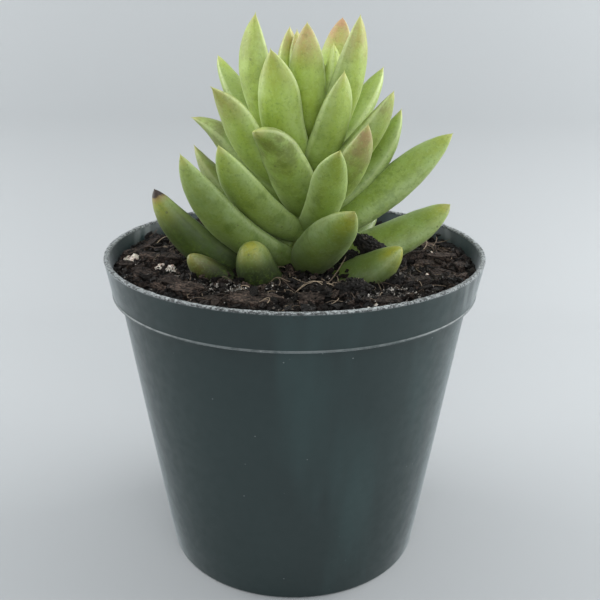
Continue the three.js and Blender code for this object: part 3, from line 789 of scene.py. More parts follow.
def pot_profile():
    """The pot's section from the middle of its underside, out, up and down inside to its floor."""
    floor_top = FLOOR_RISE + FLOOR_THICKNESS
    foot_inside = BASE_RADIUS - FOOT_WIDTH
    corners = [
        (foot_inside - FLOOR_RISE, FLOOR_RISE),
        (foot_inside - EDGE - 0.3 * MM, 0.15 * MM),
        (foot_inside - EDGE + 0.2 * MM, 0),
        (BASE_RADIUS - EDGE, 0),
    ]
    for step in range(1, 4):
        turn = step / 3 * math.pi / 2
        corners.append((BASE_RADIUS - EDGE * (1 - math.sin(turn)), EDGE * (1 - math.cos(turn))))
    for share in (0.15, 0.3, 0.45, 0.6, 0.75, 0.88, 0.97):
        z = share * BAND_BOTTOM_Z
        corners.append((pot_outer_radius(z), z))
    corners += [
        (BODY_TOP_RADIUS, BAND_BOTTOM_Z - 0.45 * MM),
        (BODY_TOP_RADIUS + 0.15 * MM, BAND_BOTTOM_Z - 0.2 * MM),
        (BODY_TOP_RADIUS + 0.45 * MM, BAND_BOTTOM_Z - 0.05 * MM),
        (BAND_BOTTOM_RADIUS - 0.8 * MM, BAND_BOTTOM_Z),
        (BAND_BOTTOM_RADIUS - 0.1 * MM, BAND_BOTTOM_Z + 0.05 * MM),
        (BAND_BOTTOM_RADIUS + 0.25 * MM, BAND_BOTTOM_Z + 0.25 * MM),
        (BAND_BOTTOM_RADIUS + 0.25 * MM, BAND_BOTTOM_Z + 0.5 * MM),
        (BAND_BOTTOM_RADIUS + 0.02 * MM, BAND_BOTTOM_Z + 0.8 * MM),
        (BAND_BOTTOM_RADIUS + 0.05 * MM, BAND_BOTTOM_Z + 1.2 * MM),
    ]
    for share in (0.25, 0.5, 0.75, 0.9):
        z = BAND_BOTTOM_Z + share * (POT_HEIGHT - BAND_BOTTOM_Z)
        corners.append((BAND_BOTTOM_RADIUS + share * (RIM_RADIUS - 0.1 * MM - BAND_BOTTOM_RADIUS), z))
    corners += [
        (RIM_RADIUS - 0.12 * MM, POT_HEIGHT - 0.5 * MM),
        (RIM_RADIUS - 0.25 * MM, POT_HEIGHT - 0.15 * MM),
        (RIM_RADIUS - 0.55 * MM, POT_HEIGHT),
        (RIM_RADIUS - 0.95 * MM, POT_HEIGHT + 0.02 * MM),
        (RIM_RADIUS - LIP_WIDTH + 0.3 * MM, POT_HEIGHT - 0.02 * MM),
        (RIM_RADIUS - LIP_WIDTH + 0.02 * MM, POT_HEIGHT - 0.3 * MM),
        (RIM_RADIUS - LIP_WIDTH - 0.1 * MM, POT_HEIGHT - 0.8 * MM),
    ]
    for z in (0.099, 0.096, BAND_BOTTOM_Z + 1.2 * MM, BAND_BOTTOM_Z - 1 * MM, 0.06, 0.03):
        corners.append((pot_inner_radius(z), z))
    corners += [
        (pot_inner_radius(floor_top + 1 * MM), floor_top + 1 * MM),
        (pot_inner_radius(floor_top) - 1 * MM, floor_top),
    ]
    return corners


def model_pot(settings):
    profile = pot_profile()
    pot = turned_profile("nursery_pot", profile, POT_SEGMENTS)
    bpy.ops.mesh.edge_face_add()
    close_editing()
    fill_first_ring(pot, *profile[0])
    cut_drain_holes(pot)
    wear_pot(pot.data, settings.lip_roughness)
    smooth(pot, 35)
    return pot


def cut_drain_holes(pot):
    """Drills the ring of holes through the floor, all with one cutter."""
    drills = []
    for hole in range(DRAIN_HOLES):
        turn = (hole + 0.5) / DRAIN_HOLES * math.tau
        place = (
            math.cos(turn) * DRAIN_CIRCLE_RADIUS,
            math.sin(turn) * DRAIN_CIRCLE_RADIUS,
            FLOOR_RISE,
        )
        bpy.ops.mesh.primitive_cylinder_add(
            vertices=32, radius=DRAIN_RADIUS, depth=12 * MM, location=place
        )
        drills.append(take_new_object(f"drill_{hole}"))
    pick_only(drills[-1])
    for drill in drills:
        drill.select_set(True)
    bpy.ops.object.join()
    cutter = bpy.context.active_object
    apply_modifier(pot, "BOOLEAN", operation="DIFFERENCE", solver="EXACT", object=cutter)
    bpy.data.objects.remove(cutter)


def wear_pot(mesh, roughness):
    """Pushes the rim out of round and nicks the trimmed lip."""
    points = read_points(mesh)
    lip_from = POT_HEIGHT - 0.9 * MM
    for i, (x, y, z) in enumerate(points):
        radius = math.hypot(x, y)
        push = rim_bulge(x, y, z)
        if z > lip_from:
            share = (z - lip_from) / (POT_HEIGHT - lip_from)
            rough = noise.turbulence(Vector((x, y, z)) * 420, 3, False) - 0.45
            nick = min(noise.noise(Vector((x, y, 0)) * 150) + 0.42, 0)
            points[i, 2] += share * (roughness * rough * 0.55 + nick * 0.9 * MM)
            wander = noise.noise(Vector((x, y, z)) * 500 + Vector((7, 0, 0)))
            push += share * roughness * 0.7 * wander
        if radius > 1e-6:
            points[i, 0] *= (radius + push) / radius
            points[i, 1] *= (radius + push) / radius
    write_points(mesh, points)


# Soil


def soil_top(x, y):
    """Height of the soil there, in its broad waves."""
    a, b = x / MM, y / MM
    waves = (
        0.7 * math.sin(a / 6.3 + 1.1) * math.cos(b / 5.4 - 0.6)
        + 0.5 * math.sin((a + b) / 3.9 + 2)
        + 0.4 * math.cos((a - 1.4 * b) / 3.1)
    )
    slope = SOIL_FRONT_RISE * (-y / RIM_RADIUS) + SOIL_MOUND * (1 - math.hypot(x, y) / RIM_RADIUS)
    return SOIL_LEVEL + slope + waves * MM


def soil_surface(x, y):
    """Height of the soil there, with its clods."""
    place = Vector((x, y, 0))
    clods = noise.turbulence(place * 240, 4, False) - 0.5
    lumps = 0.5 - noise.voronoi(place * 420)[0][0]
    crumbs = 0.5 - noise.voronoi(place * 1100)[0][0]
    return soil_top(x, y) + clods * 1.6 * MM + lumps * 1.1 * MM + crumbs * 0.4 * MM


def model_soil():
    """A plug that fills the pot, with a fine rough top."""
    gap = 0.4 * MM
    corners = [
        (pot_inner_radius(4 * MM) - 1.2 * MM, 3.8 * MM),
        (pot_inner_radius(5 * MM) - gap, 5 * MM),
        (pot_inner_radius(40 * MM) - gap, 40 * MM),
        (pot_inner_radius(BAND_BOTTOM_Z - 1.2 * MM) - gap, BAND_BOTTOM_Z - 1.2 * MM),
        (pot_inner_radius(BAND_BOTTOM_Z + 1.4 * MM) - gap, BAND_BOTTOM_Z + 1.4 * MM),
        (pot_inner_radius(SOIL_LEVEL) - gap, SOIL_LEVEL),
    ]
    top_radius = corners[-1][0]
    for ring in range(1, SOIL_RINGS):
        corners.append((top_radius * (1 - ring / SOIL_RINGS), SOIL_LEVEL))
    soil = turned_profile("potting_mix_body", corners, SOIL_SEGMENTS)
    bpy.ops.mesh.merge(type="CENTER")
    close_editing()
    fill_first_ring(soil, *corners[0])
    points = read_points(soil.data)
    for i, (x, y, z) in enumerate(points):
        radius = math.hypot(x, y)
        if z > SOIL_LEVEL - 1e-6:
            points[i, 2] = soil_surface(x, y)
        if radius > 1e-6:
            push = rim_bulge(x, y, z) * (radius / top_radius)
            points[i, 0] *= (radius + push) / radius
            points[i, 1] *= (radius + push) / radius
    write_points(soil.data, points)
    write_attribute(soil.data, "tone", np.zeros(len(points)))
    smooth(soil, 180)
    return soil


def gather_copies(name, blanks, places):
    """Copies small blanks to many places and keeps the copies in one mesh.

    Each place is (which blank, matrix, tone). Every vertex keeps its copy's tone, and its
    own place on the blank as its grain.
    """
    shapes = []
    for blank in blanks:
        faces = [tuple(polygon.vertices) for polygon in blank.data.polygons]
        shapes.append((read_points(blank.data), faces))
    points, faces, tones, grains = [], [], [], []
    count = 0
    for which, matrix, tone in places:
        shape, shape_faces = shapes[which]
        turn = np.array(matrix.to_3x3())
        points.append(shape @ turn.T + np.array(matrix.translation))
        faces += [tuple(corner + count for corner in face) for face in shape_faces]
        tones.append(np.full(len(shape), tone))
        grains.append(shape + tone * 37)
        count += len(shape)
    mesh = bpy.data.meshes.new(name)
    mesh.from_pydata(np.concatenate(points).tolist(), [], faces)
    write_attribute(mesh, "tone", np.concatenate(tones))
    write_vectors(mesh, "grain", np.concatenate(grains))
    obj = bpy.data.objects.new(name, mesh)
    bpy.context.scene.collection.objects.link(obj)
    for blank in blanks:
        bpy.data.objects.remove(blank)
    smooth(obj, 40)
    return obj


def chip_blank(seed, cuts, raggedness):
    """One flat chip of bark, a unit long: a cut-up slab with torn ends and split faces."""
    bpy.ops.mesh.primitive_cube_add(size=1)
    chip = take_new_object(f"chip_blank_{seed}")
    chip.scale = (1, 0.42, 0.2)
    bpy.ops.object.transform_apply()
    open_for_editing(chip)
    bpy.ops.mesh.select_all(action="SELECT")
    bpy.ops.mesh.subdivide(number_cuts=cuts)
    close_editing()
    points = read_points(chip.data)
    offset = Vector((seed * 3.7, seed * 1.9, 0))
    for i, (x, y, z) in enumerate(points):
        place = Vector((x * 1.6, y * 5, z * 5)) + offset
        taper = 1 - 0.45 * abs(2 * x) ** 2.5
        split = noise.noise(Vector((x * 1.2, y * 9, 0)) + offset)
        torn = noise.noise(Vector((0.2 * x, y * 8, z * 3)) + offset)
        points[i, 0] = x * (1 + raggedness * torn)
        points[i, 1] = y * taper * (1 + 0.35 * noise.noise(place))
        points[i, 2] = z * (0.7 + 0.3 * taper) + raggedness * 0.16 * split
    write_points(chip.data, points)
    return chip


def crumb_blank(seed, rounds, lumpiness):
    """One crumb, a unit across."""
    bpy.ops.mesh.primitive_ico_sphere_add(subdivisions=rounds, radius=0.5)
    crumb = take_new_object(f"crumb_blank_{seed}")
    points = read_points(crumb.data)
    for i, point in enumerate(points):
        lump = noise.noise(Vector(point) * 2.6 + Vector((seed * 5.3, 0, 0)))
        points[i] = point * (1 + lumpiness * lump)
    write_points(crumb.data, points)
    return crumb


def soil_point(chance, from_radius=2, to_radius=57):
    """A chance place on the soil, inside the pot's wall."""
    turn = chance.random() * math.tau
    share = math.sqrt(chance.uniform((from_radius / to_radius) ** 2, 1))
    radius = to_radius * share * MM
    return math.cos(turn) * radius, math.sin(turn) * radius


def lying(x, y, lift, size, turn, tilt_x=0.0, tilt_y=0.0):
    """A matrix that lays a unit blank on the soil, at its size along, across and up."""
    rest = Matrix.Translation((x, y, soil_surface(x, y) + lift))
    spin = Matrix.Rotation(turn, 4, "Z")
    tilt = Matrix.Rotation(tilt_x, 4, "X") @ Matrix.Rotation(tilt_y, 4, "Y")
    return rest @ spin @ tilt @ Matrix.Diagonal((*size, 1))


# Chips that stand out on the surface, in millimetres and degrees:
# x, y, length, width, thickness, turn, tilt, tone.
LARGE_CHIPS = [
    (-45, -3, 8.5, 4, 2.6, 8, 10, 0.7),
    (-46.5, -9.5, 8, 3, 2.5, 12, -8, 0.4),
    (-52, -11, 5, 3.5, 2.5, -20, 8, 0.3),
    (-44.5, -19, 7, 5.5, 3, 10, 12, 0.35),
    (-30.5, -34, 9.5, 7.5, 2.8, -12, 5, 0.6),
    (-22, -41.5, 8, 5, 2.5, -5, -6, 0.35),
    (-10, -43.5, 14.5, 8, 2.8, -3, 7, 0.55),
    (-52, 10, 20, 4, 2, 84, 8, 0.5),
    (-49, 15, 16, 3.5, 2, 68, -12, 0.35),
    (-53.5, 2.5, 9, 3, 2, 75, 10, 0.5),
    (46, 18, 11, 3.5, 1.6, -35, 18, 0.95),
    (50, 13, 9, 3, 1.5, -60, -10, 0.9),
    (44, 13, 10, 3.5, 1.6, 15, 12, 0.8),
    (49, 8, 8, 3, 1.6, -45, -14, 0.85),
    (41, 20, 9, 3, 1.5, 20, 10, 0.7),
    (43.5, -6, 11, 4, 2.5, -3, 6, 0.5),
    (37, -2, 9, 4, 2.5, 12, -8, 0.3),
    (47, -1, 10, 3.5, 2, 10, 6, 0.45),
    (52, -8, 7, 4, 2, 70, 8, 0.4),
    (45, -13, 9, 5, 2.5, -20, 6, 0.3),
    (49.5, -18.5, 6.5, 4, 2.2, 30, -8, 0.85),
    (26, -41, 8, 5, 2.5, 10, 4, 0.25),
    (5, -41, 7, 5, 2.4, -10, 6, 0.3),
    (36, -26, 8, 5, 2.4, 25, -6, 0.25),
    (-36, -27, 7, 5, 2.5, -30, 8, 0.3),
    (-39, -5, 7, 4, 2.5, 0, 8, 0.35),
    (-25, 40, 10, 5, 2.6, 20, 8, 0.5),
    (0, 47, 12, 6, 2.6, -10, -6, 0.45),
    (22, 42, 9, 5, 2.5, 30, 8, 0.6),
    (-8, 38, 8, 5, 2.4, 60, 6, 0.35),
    (33, 30, 9, 5, 2.5, -40, -8, 0.4),
    (-35, 28, 10, 5, 2.5, 40, 8, 0.4),
]

# Lumps of perlite: x, y, length, width, height, turn.
PERLITE_LUMPS = [
    (-53, -1.5, 5.6, 4.4, 4.4, 20),
    (-50, -2.8, 4.4, 3.6, 3.8, 40),
    (-41, -11.5, 3.4, 2.6, 2.8, 0),
    (-37.5, -14.5, 3, 2.6, 3, 0),
    (-36, -16.5, 1.8, 1.6, 1.6, 0),
    (-2, -41, 1.8, 1.5, 1.4, 0),
    (4, -45.5, 4.6, 3, 2.8, -25),
    (7.5, -46.5, 2.6, 2, 1.8, 10),
    (41.4, -31.5, 1.8, 1.4, 1.3, 0),
    (25, 40, 3, 2.4, 2.4, 15),
    (-18, 44, 3.2, 2.8, 2.6, 60),
    (12, 36, 2.4, 2.2, 2, 0),
    (-33, 30, 2.8, 2.2, 2.2, 35),
    (39, 33, 2.6, 2, 2, 0),
    (-2, 51, 2.2, 2, 1.9, 0),
]

# Heaps of grit: x, y and how far each one spreads.
GRIT_HEAPS = [
    (-22, -30, 6),
    (-12, -33, 7),
    (-14, -37, 6),
    (17, -35, 4),
    (30, -35, 6),
    (24, -38, 5),
]

# Dark clods: x, y, z of the middle, half its length, depth and height, and its tilt.
CLODS = [
    (23.5, -13, 106.5, 5.6, 2.4, 2.6, 34),
    (18, -11, 101, 5, 3, 3.4, 20),
    (16.9, -34, 99.5, 4.8, 4.2, 3.6, 0),
    (30, -24, 99, 5, 4, 2.6, -10),
]


def chip_size(length, width, thickness):
    return (length * MM, width / 0.42 * MM, thickness / 0.2 * MM)


def model_large_chips():
    blanks = [chip_blank(seed, 7, 0.24) for seed in range(1, 6)]
    places = []
    for i, (x, y, length, width, thickness, turn, tilt, tone) in enumerate(LARGE_CHIPS):
        size = chip_size(length, width, thickness)
        lean = math.radians(tilt)
        matrix = lying(x * MM, y * MM, 1.1 * MM, size, math.radians(turn), lean, lean * 0.6)
        places.append((i % len(blanks), matrix, tone))
    return gather_copies("large_bark_chips", blanks, places)


def model_chips(name, seed, count, cuts, lengths, lift):
    """Chips that lie this way and that, most of them short and dark."""
    chance = random.Random(seed)
    blanks = [chip_blank(seed + i, cuts, 0.3) for i in range(5)]
    places = []
    shortest, longest = lengths
    for _ in range(count):
        x, y = soil_point(chance, 2, 55)
        length = shortest + (longest - shortest) * chance.random() ** 1.8
        width = length * chance.uniform(0.3, 0.7)
        size = chip_size(length, width, length * chance.uniform(0.14, 0.35))
        matrix = lying(
            x, y, chance.uniform(0, lift) * MM, size, chance.random() * math.tau,
            chance.gauss(0, 0.6), chance.gauss(0, 0.4),
        )
        places.append((chance.randrange(len(blanks)), matrix, chance.random() ** 2.8))
    return gather_copies(name, blanks, places)


def crumbs_on_clods(chance, count):
    """Places for crumbs that stick to the clods."""
    places = []
    for _ in range(count):
        x, y, z, length, depth, height, tilt = CLODS[chance.randrange(len(CLODS))]
        spot = Vector([chance.gauss(0, 1) for _ in range(3)]).normalized()
        spot = Vector((spot.x * length, spot.y * depth, spot.z * height))
        spot = Matrix.Rotation(math.radians(tilt), 3, "Y") @ spot
        size = chance.uniform(0.4, 1.3) * MM
        place = Matrix.Translation((Vector((x, y, z)) + spot) * MM)
        spin = Matrix.Rotation(chance.random() * math.tau, 4, "Z")
        spin = spin @ Matrix.Rotation(chance.random() * 3, 4, "X")
        shape = Matrix.Diagonal((size * chance.uniform(0.6, 1.8), size, size, 1))
        places.append((chance.randrange(5), place @ spin @ shape, chance.random() ** 2))
    return places


def model_crumbs(count):
    chance = random.Random(31)
    blanks = [crumb_blank(seed, 1, 1.3) for seed in range(1, 6)]
    places = crumbs_on_clods(chance, 900)
    for _ in range(count):
        x, y = soil_point(chance, 1, 56.5)
        size = 0.4 + 1.9 * chance.random() ** 2.4
        shape = [size * chance.uniform(0.6, 1.4) * MM for _ in range(3)]
        lift = (size * 0.2 + chance.random() * 0.4) * MM
        matrix = lying(x, y, lift, shape, chance.random() * math.tau, chance.random() * 3)
        places.append((chance.randrange(len(blanks)), matrix, chance.random() ** 2))
    return gather_copies("potting_mix_crumbs", blanks, places)


def model_grit(count):
    """Sharp pale grains, thickest at the front round the foot of the plant."""
    chance = random.Random(41)
    blanks = [crumb_blank(seed, 1, 1.1) for seed in range(21, 24)]
    places = []
    for i in range(count):
        if i % 3:
            heap_x, heap_y, spread = GRIT_HEAPS[chance.randrange(len(GRIT_HEAPS))]
            x = (heap_x + chance.gauss(0, spread * 0.6)) * MM
            y = (heap_y + chance.gauss(0, spread * 0.45)) * MM
        else:
            x, y = soil_point(chance, 5, 56)
        if math.hypot(x, y) > 56.5 * MM:
            continue
        size = 0.2 + 0.45 * chance.random() ** 1.5
        shape = [size * chance.uniform(0.7, 1.3) * MM for _ in range(3)]
        lift = (0.3 + chance.random() * 1.1) * MM
        matrix = lying(x, y, lift, shape, chance.random() * 6, chance.random() * 3)
        places.append((chance.randrange(3), matrix, chance.random() ** 2.2))
    return gather_copies("sharp_grit", blanks, places)


def model_perlite():
    chance = random.Random(51)
    blanks = [crumb_blank(seed, 3, 0.8) for seed in range(31, 35)]
    lumps = list(PERLITE_LUMPS)
    for _ in range(30):
        x, y = soil_point(chance, 12, 54)
        size = chance.uniform(0.6, 1.5)
        lumps.append((x / MM, y / MM, size, size * 0.9, size * 0.8, chance.uniform(0, 180)))
    places = []
    for i, (x, y, length, width, height, turn) in enumerate(lumps):
        size = (length * MM, width * MM, height * MM)
        matrix = lying(x * MM, y * MM, height * 0.3 * MM, size, math.radians(turn))
        places.append((i % len(blanks), matrix, 0.5))
    return gather_copies("perlite_lumps", blanks, places)


# Fibres that stand out: x, y of the start, heading in degrees, length in millimetres,
# total bend in degrees, height of the arch and of the far end in millimetres, thickness, tone.
FIBRES = [
    (10, -25.5, 42, 8, 10, 0.6, 5, 1.5, 1.0),
    (34.5, -18, -75, 17, -14, 0.8, 0, 1.4, 0.95),
    (33, -20, -95, 12, 25, 0.5, 0, 1, 0.8),
    (-50, 21, 20, 10, 150, 2.2, 0, 1.2, 0.75),
    (-47, 14, 75, 9, -190, 2.4, 0, 1, 0.7),
    (-52, 12, -60, 18, 20, 1.2, 3, 1.3, 0.6),
    (-12, -36, 70, 7, 290, 1.4, 0, 1, 0.6),
    (-1, -30, -160, 8, -110, 1.8, 0, 1, 0.9),
    (-4, -31, 60, 6, 200, 1.6, 0, 0.8, 0.5),
    (2, -37, 150, 12, -60, 1.2, 0, 0.9, 0.3),
    (9, -36, 120, 9, 90, 1.6, 0, 0.8, 0.35),
    (12, -30, -170, 13, 30, 1.0, 0, 1.2, 0.25),
    (42, 6, 60, 13, 40, 1.6, 2, 1.2, 0.9),
    (46, 2, 110, 11, -70, 1.4, 3, 1.1, 0.8),
    (44, 10, 35, 11, 60, 1.8, 2, 1.3, 0.95),
    (50, -2, 130, 10, 60, 1.4, 1, 1, 0.8),
    (40, 14, 10, 12, -30, 1.0, 3, 1.2, 0.85),
    (20, -14, 130, 5, -60, 0.4, 5, 1.2, 0.1),
]


def fibre_path(x, y, heading, length, bend, arch, rise, steps=14):
    """Points along one fibre that lies on the soil, arches off it and may end above it."""
    points = []
    turn = math.radians(heading)
    stride = length * MM / steps
    for step in range(steps + 1):
        share = step / steps
        lift = 0.7 * MM + arch * MM * math.sin(share * math.pi) ** 1.3 + rise * MM * share**1.5
        points.append((x, y, soil_top(x, y) + lift))
        turn += math.radians(bend) / steps
        x += math.cos(turn) * stride
        y += math.sin(turn) * stride
    return points


def model_fibres(count):
    """Fine roots and fibres, each a thin tapering tube."""
    chance = random.Random(61)
    rows = [(x * MM, y * MM, *rest) for x, y, *rest in FIBRES]
    for _ in range(count):
        x, y = soil_point(chance, 8, 52)
        rows.append((
            x, y, chance.uniform(0, 360), chance.uniform(2.5, 9), chance.gauss(0, 110),
            chance.uniform(0, 1.3), 0, chance.uniform(0.45, 0.95), chance.random() ** 2,
        ))
    strands = bpy.data.curves.new("root_fibres", "CURVE")
    strands.dimensions = "3D"
    strands.bevel_depth = 0.13 * MM
    strands.bevel_resolution = 1
    strands.use_fill_caps = True
    tones = []
    for x, y, heading, length, bend, arch, rise, thickness, tone in rows:
        path = fibre_path(x, y, heading, length, bend, arch, rise)
        path = [p for p in path if math.hypot(p[0], p[1]) < 56.5 * MM]
        if len(path) < 4:
            continue
        spline = strands.splines.new("POLY")
        spline.points.add(len(path) - 1)
        for i, point in enumerate(path):
            spline.points[i].co = (*point, 1)
            spline.points[i].radius = thickness * (1 - 0.6 * i / len(path))
        tones.append((len(path), tone))
    obj = bpy.data.objects.new("root_fibres", strands)
    bpy.context.scene.collection.objects.link(obj)
    pick_only(obj)
    bpy.ops.object.convert(target="MESH")
    obj = bpy.context.active_object
    per_point = len(obj.data.vertices) // sum(length for length, _ in tones)
    values = np.concatenate([np.full(length * per_point, tone) for length, tone in tones])
    values = np.resize(values, len(obj.data.vertices))
    write_attribute(obj.data, "tone", values)
    smooth(obj, 60)
    return obj


def model_clods():
    """The dark clods that stand up between the lowest leaves."""
    points = []
    faces = []
    bpy.ops.mesh.primitive_ico_sphere_add(subdivisions=5, radius=1)
    blank = take_new_object("clod_blank")
    shape = [Vector(point) for point in read_points(blank.data)]
    triangles = [tuple(polygon.vertices) for polygon in blank.data.polygons]
    bpy.data.objects.remove(blank)
    for row, (x, y, z, length, depth, height, tilt) in enumerate(CLODS):
        lean = Matrix.Rotation(math.radians(tilt), 3, "Y")
        offset = Vector((row * 9.1, 0, 0))
        first = len(points)
        for place in shape:
            lump = 1 + 0.35 * noise.noise(place * 1.7 + offset)
            lump += 0.3 * noise.noise(place * 4.5 + offset) + 0.2 * noise.noise(place * 11 + offset)
            size = Vector((place.x * length, place.y * depth, place.z * height)) * lump
            points.append((Vector((x, y, z)) + lean @ size) * MM)
        faces += [tuple(corner + first for corner in triangle) for triangle in triangles]
    mesh = bpy.data.meshes.new("dark_clods")
    mesh.from_pydata(points, [], faces)
    write_attribute(mesh, "tone", np.full(len(points), 0.1))
    clods = bpy.data.objects.new("dark_clods", mesh)
    bpy.context.scene.collection.objects.link(clods)
    smooth(clods, 180)
    return clods


# Stem and leaves


def stem_axis(z):
    along = (z - STEM_FOOT.z) / (STEM_HEAD.z - STEM_FOOT.z)
    return STEM_FOOT.lerp(STEM_HEAD, along)


def model_stem():
    """A short fleshy stem that narrows upward, a little uneven in girth, with a rounded top."""
    stem = ringed_bar("fleshy_stem", 28, 60)
    points = read_points(stem.data)
    for i, (x, y, z) in enumerate(points):
        height = STEM_BOTTOM_Z + z * (STEM_TOP_Z - STEM_BOTTOM_Z)
        share = min(max((height - STEM_FOOT.z) / (STEM_TOP_Z - STEM_FOOT.z), 0), 1)
        radius = STEM_FOOT_RADIUS + share * (STEM_TOP_RADIUS - STEM_FOOT_RADIUS)
        radius *= 1 + 0.07 * noise.noise(Vector((x * 2, y * 2, height * 400)))
        radius *= min(1, 0.35 + (STEM_TOP_Z - height) / (3 * MM))
        points[i] = stem_axis(height) + Vector((x, y, 0)) * radius
    write_points(stem.data, points)
    smooth(stem, 60)
    return stem


class Leaf:
    """How one leaf stands: angles in degrees, sizes in metres."""

    def __init__(self, order, turn=0.0):
        age = max(order, 0)
        self.order = order
        self.age = min(age / 46, 1)
        self.azimuth = FIRST_AZIMUTH + GOLDEN_ANGLE * order + turn
        self.height = max(FIRST_HEIGHT - HEIGHT_STEP * order, LOWEST_HEIGHT)
        self.rise = 58 - 1.3 * age
        self.curl = 30
        self.sweep = 0
        length = min(24 + 2.5 * age, 40 + 0.3 * min(age, 32)) - 1.5 * max(age - 36, 0)
        self.length = length * MM
        self.width = (11.5 + 0.04 * age) * MM
        self.roll = 0
        self.hook = 0
        self.blunt, self.thickness_ratio, self.nod = LEAF_BUILDS.get(order, USUAL_BUILD)
        tints = LEAF_TINTS.get(order, USUAL_TINTS)
        self.blush, self.gold, self.olive, self.dead, self.deep_green_and_shade = tints

    def directions(self, along):
        """The leaf's own forward, across and up at each share of its length."""
        near_tip = np.maximum(along - HOOK_FROM, 0) / (1 - HOOK_FROM)
        azimuth = np.radians(self.azimuth + self.sweep * along + self.nod * near_tip)
        rise = np.radians(self.rise + self.curl * along + self.hook * near_tip)
        forward = np.stack(
            [np.sin(azimuth) * np.cos(rise), -np.cos(azimuth) * np.cos(rise), np.sin(rise)], axis=-1
        )
        across = np.stack([np.cos(azimuth), np.sin(azimuth), np.zeros_like(azimuth)], axis=-1)
        return forward, across, np.cross(forward, across)

    def spine(self, along):
        """Points on the leaf's middle line."""
        middles = (np.arange(SPINE_STEPS) + 0.5) / SPINE_STEPS
        steps = self.directions(middles)[0] * self.length / SPINE_STEPS
        knots = np.vstack([np.zeros(3), np.cumsum(steps, axis=0)]) + np.array(stem_axis(self.height))
        shares = np.arange(SPINE_STEPS + 1) / SPINE_STEPS
        inside = np.stack([np.interp(along, shares, knots[:, axis]) for axis in range(3)], axis=-1)
        beyond = np.maximum(along - 1, 0)[:, None] * self.length
        return inside + beyond * self.directions(np.ones_like(along))[0]


def seen_leaf(order, turn, rise, curl, sweep, length, width, roll, hook=0):
    leaf = Leaf(order, turn)
    leaf.rise, leaf.curl, leaf.sweep = rise, curl, sweep
    leaf.length, leaf.width = length * MM, width * MM
    leaf.roll, leaf.hook = roll, hook
    return leaf


def seeded(seed):
    """The same row of chance numbers from 0 to 1 that the solid leaves were placed with."""
    state = seed
    while True:
        state = (state * 1664525 + 1013904223) % 4294967296
        yield state / 4294967296


def unseen_leaf(order, turn, chances):
    leaf = Leaf(order, turn)

    def chance(spread):
        return (next(chances) - 0.5) * 2 * spread

    leaf.azimuth += chance(4)
    leaf.rise += chance(3)
    leaf.curl += chance(6)
    leaf.length += chance(1.5) * MM
    leaf.roll = chance(6)
    return leaf


def bud_leaf(order, turn):
    leaf = Leaf(order, turn)
    youth = -order
    leaf.rise = 72 + 1.5 * youth
    leaf.curl = 14
    leaf.length = (31 if youth == 0 else 25 - 2.5 * youth) * MM
    leaf.width = (8.5 - 0.6 * youth) * MM
    return leaf


def width_profile(along, blunt):
    """The leaf's width there as a share of its greatest width."""
    near = ROOT_WIDTH + (1 - ROOT_WIDTH) * np.sin(np.clip(along / WIDEST_AT, 0, 1) * math.pi / 2)
    past = np.clip((along - WIDEST_AT) / (1 - WIDEST_AT), 0, 1)
    shoulder = 3 - blunt * (0.4 if blunt > 0 else 1)
    taper = 0.9 - blunt * (0.4 if blunt > 0 else 0.3)
    return np.where(along < WIDEST_AT, near, np.maximum(1 - past**shoulder, 0) ** taper)


def thickness_profile(along, blunt):
    """The leaf's thickness there as a share of its greatest thickness."""
    share = np.clip(along / THICKEST_AT, 0, 1)
    near = ROOT_THICKNESS + (1 - ROOT_THICKNESS) * np.sin(share * math.pi / 2)
    past = np.clip((along - THICKEST_AT) / (1 - THICKEST_AT), 0, 1)
    taper = 0.85 - blunt * (0.35 if blunt > 0 else 0.1)
    return np.where(along < THICKEST_AT, near, np.maximum(1 - past**2.2, 0) ** taper)


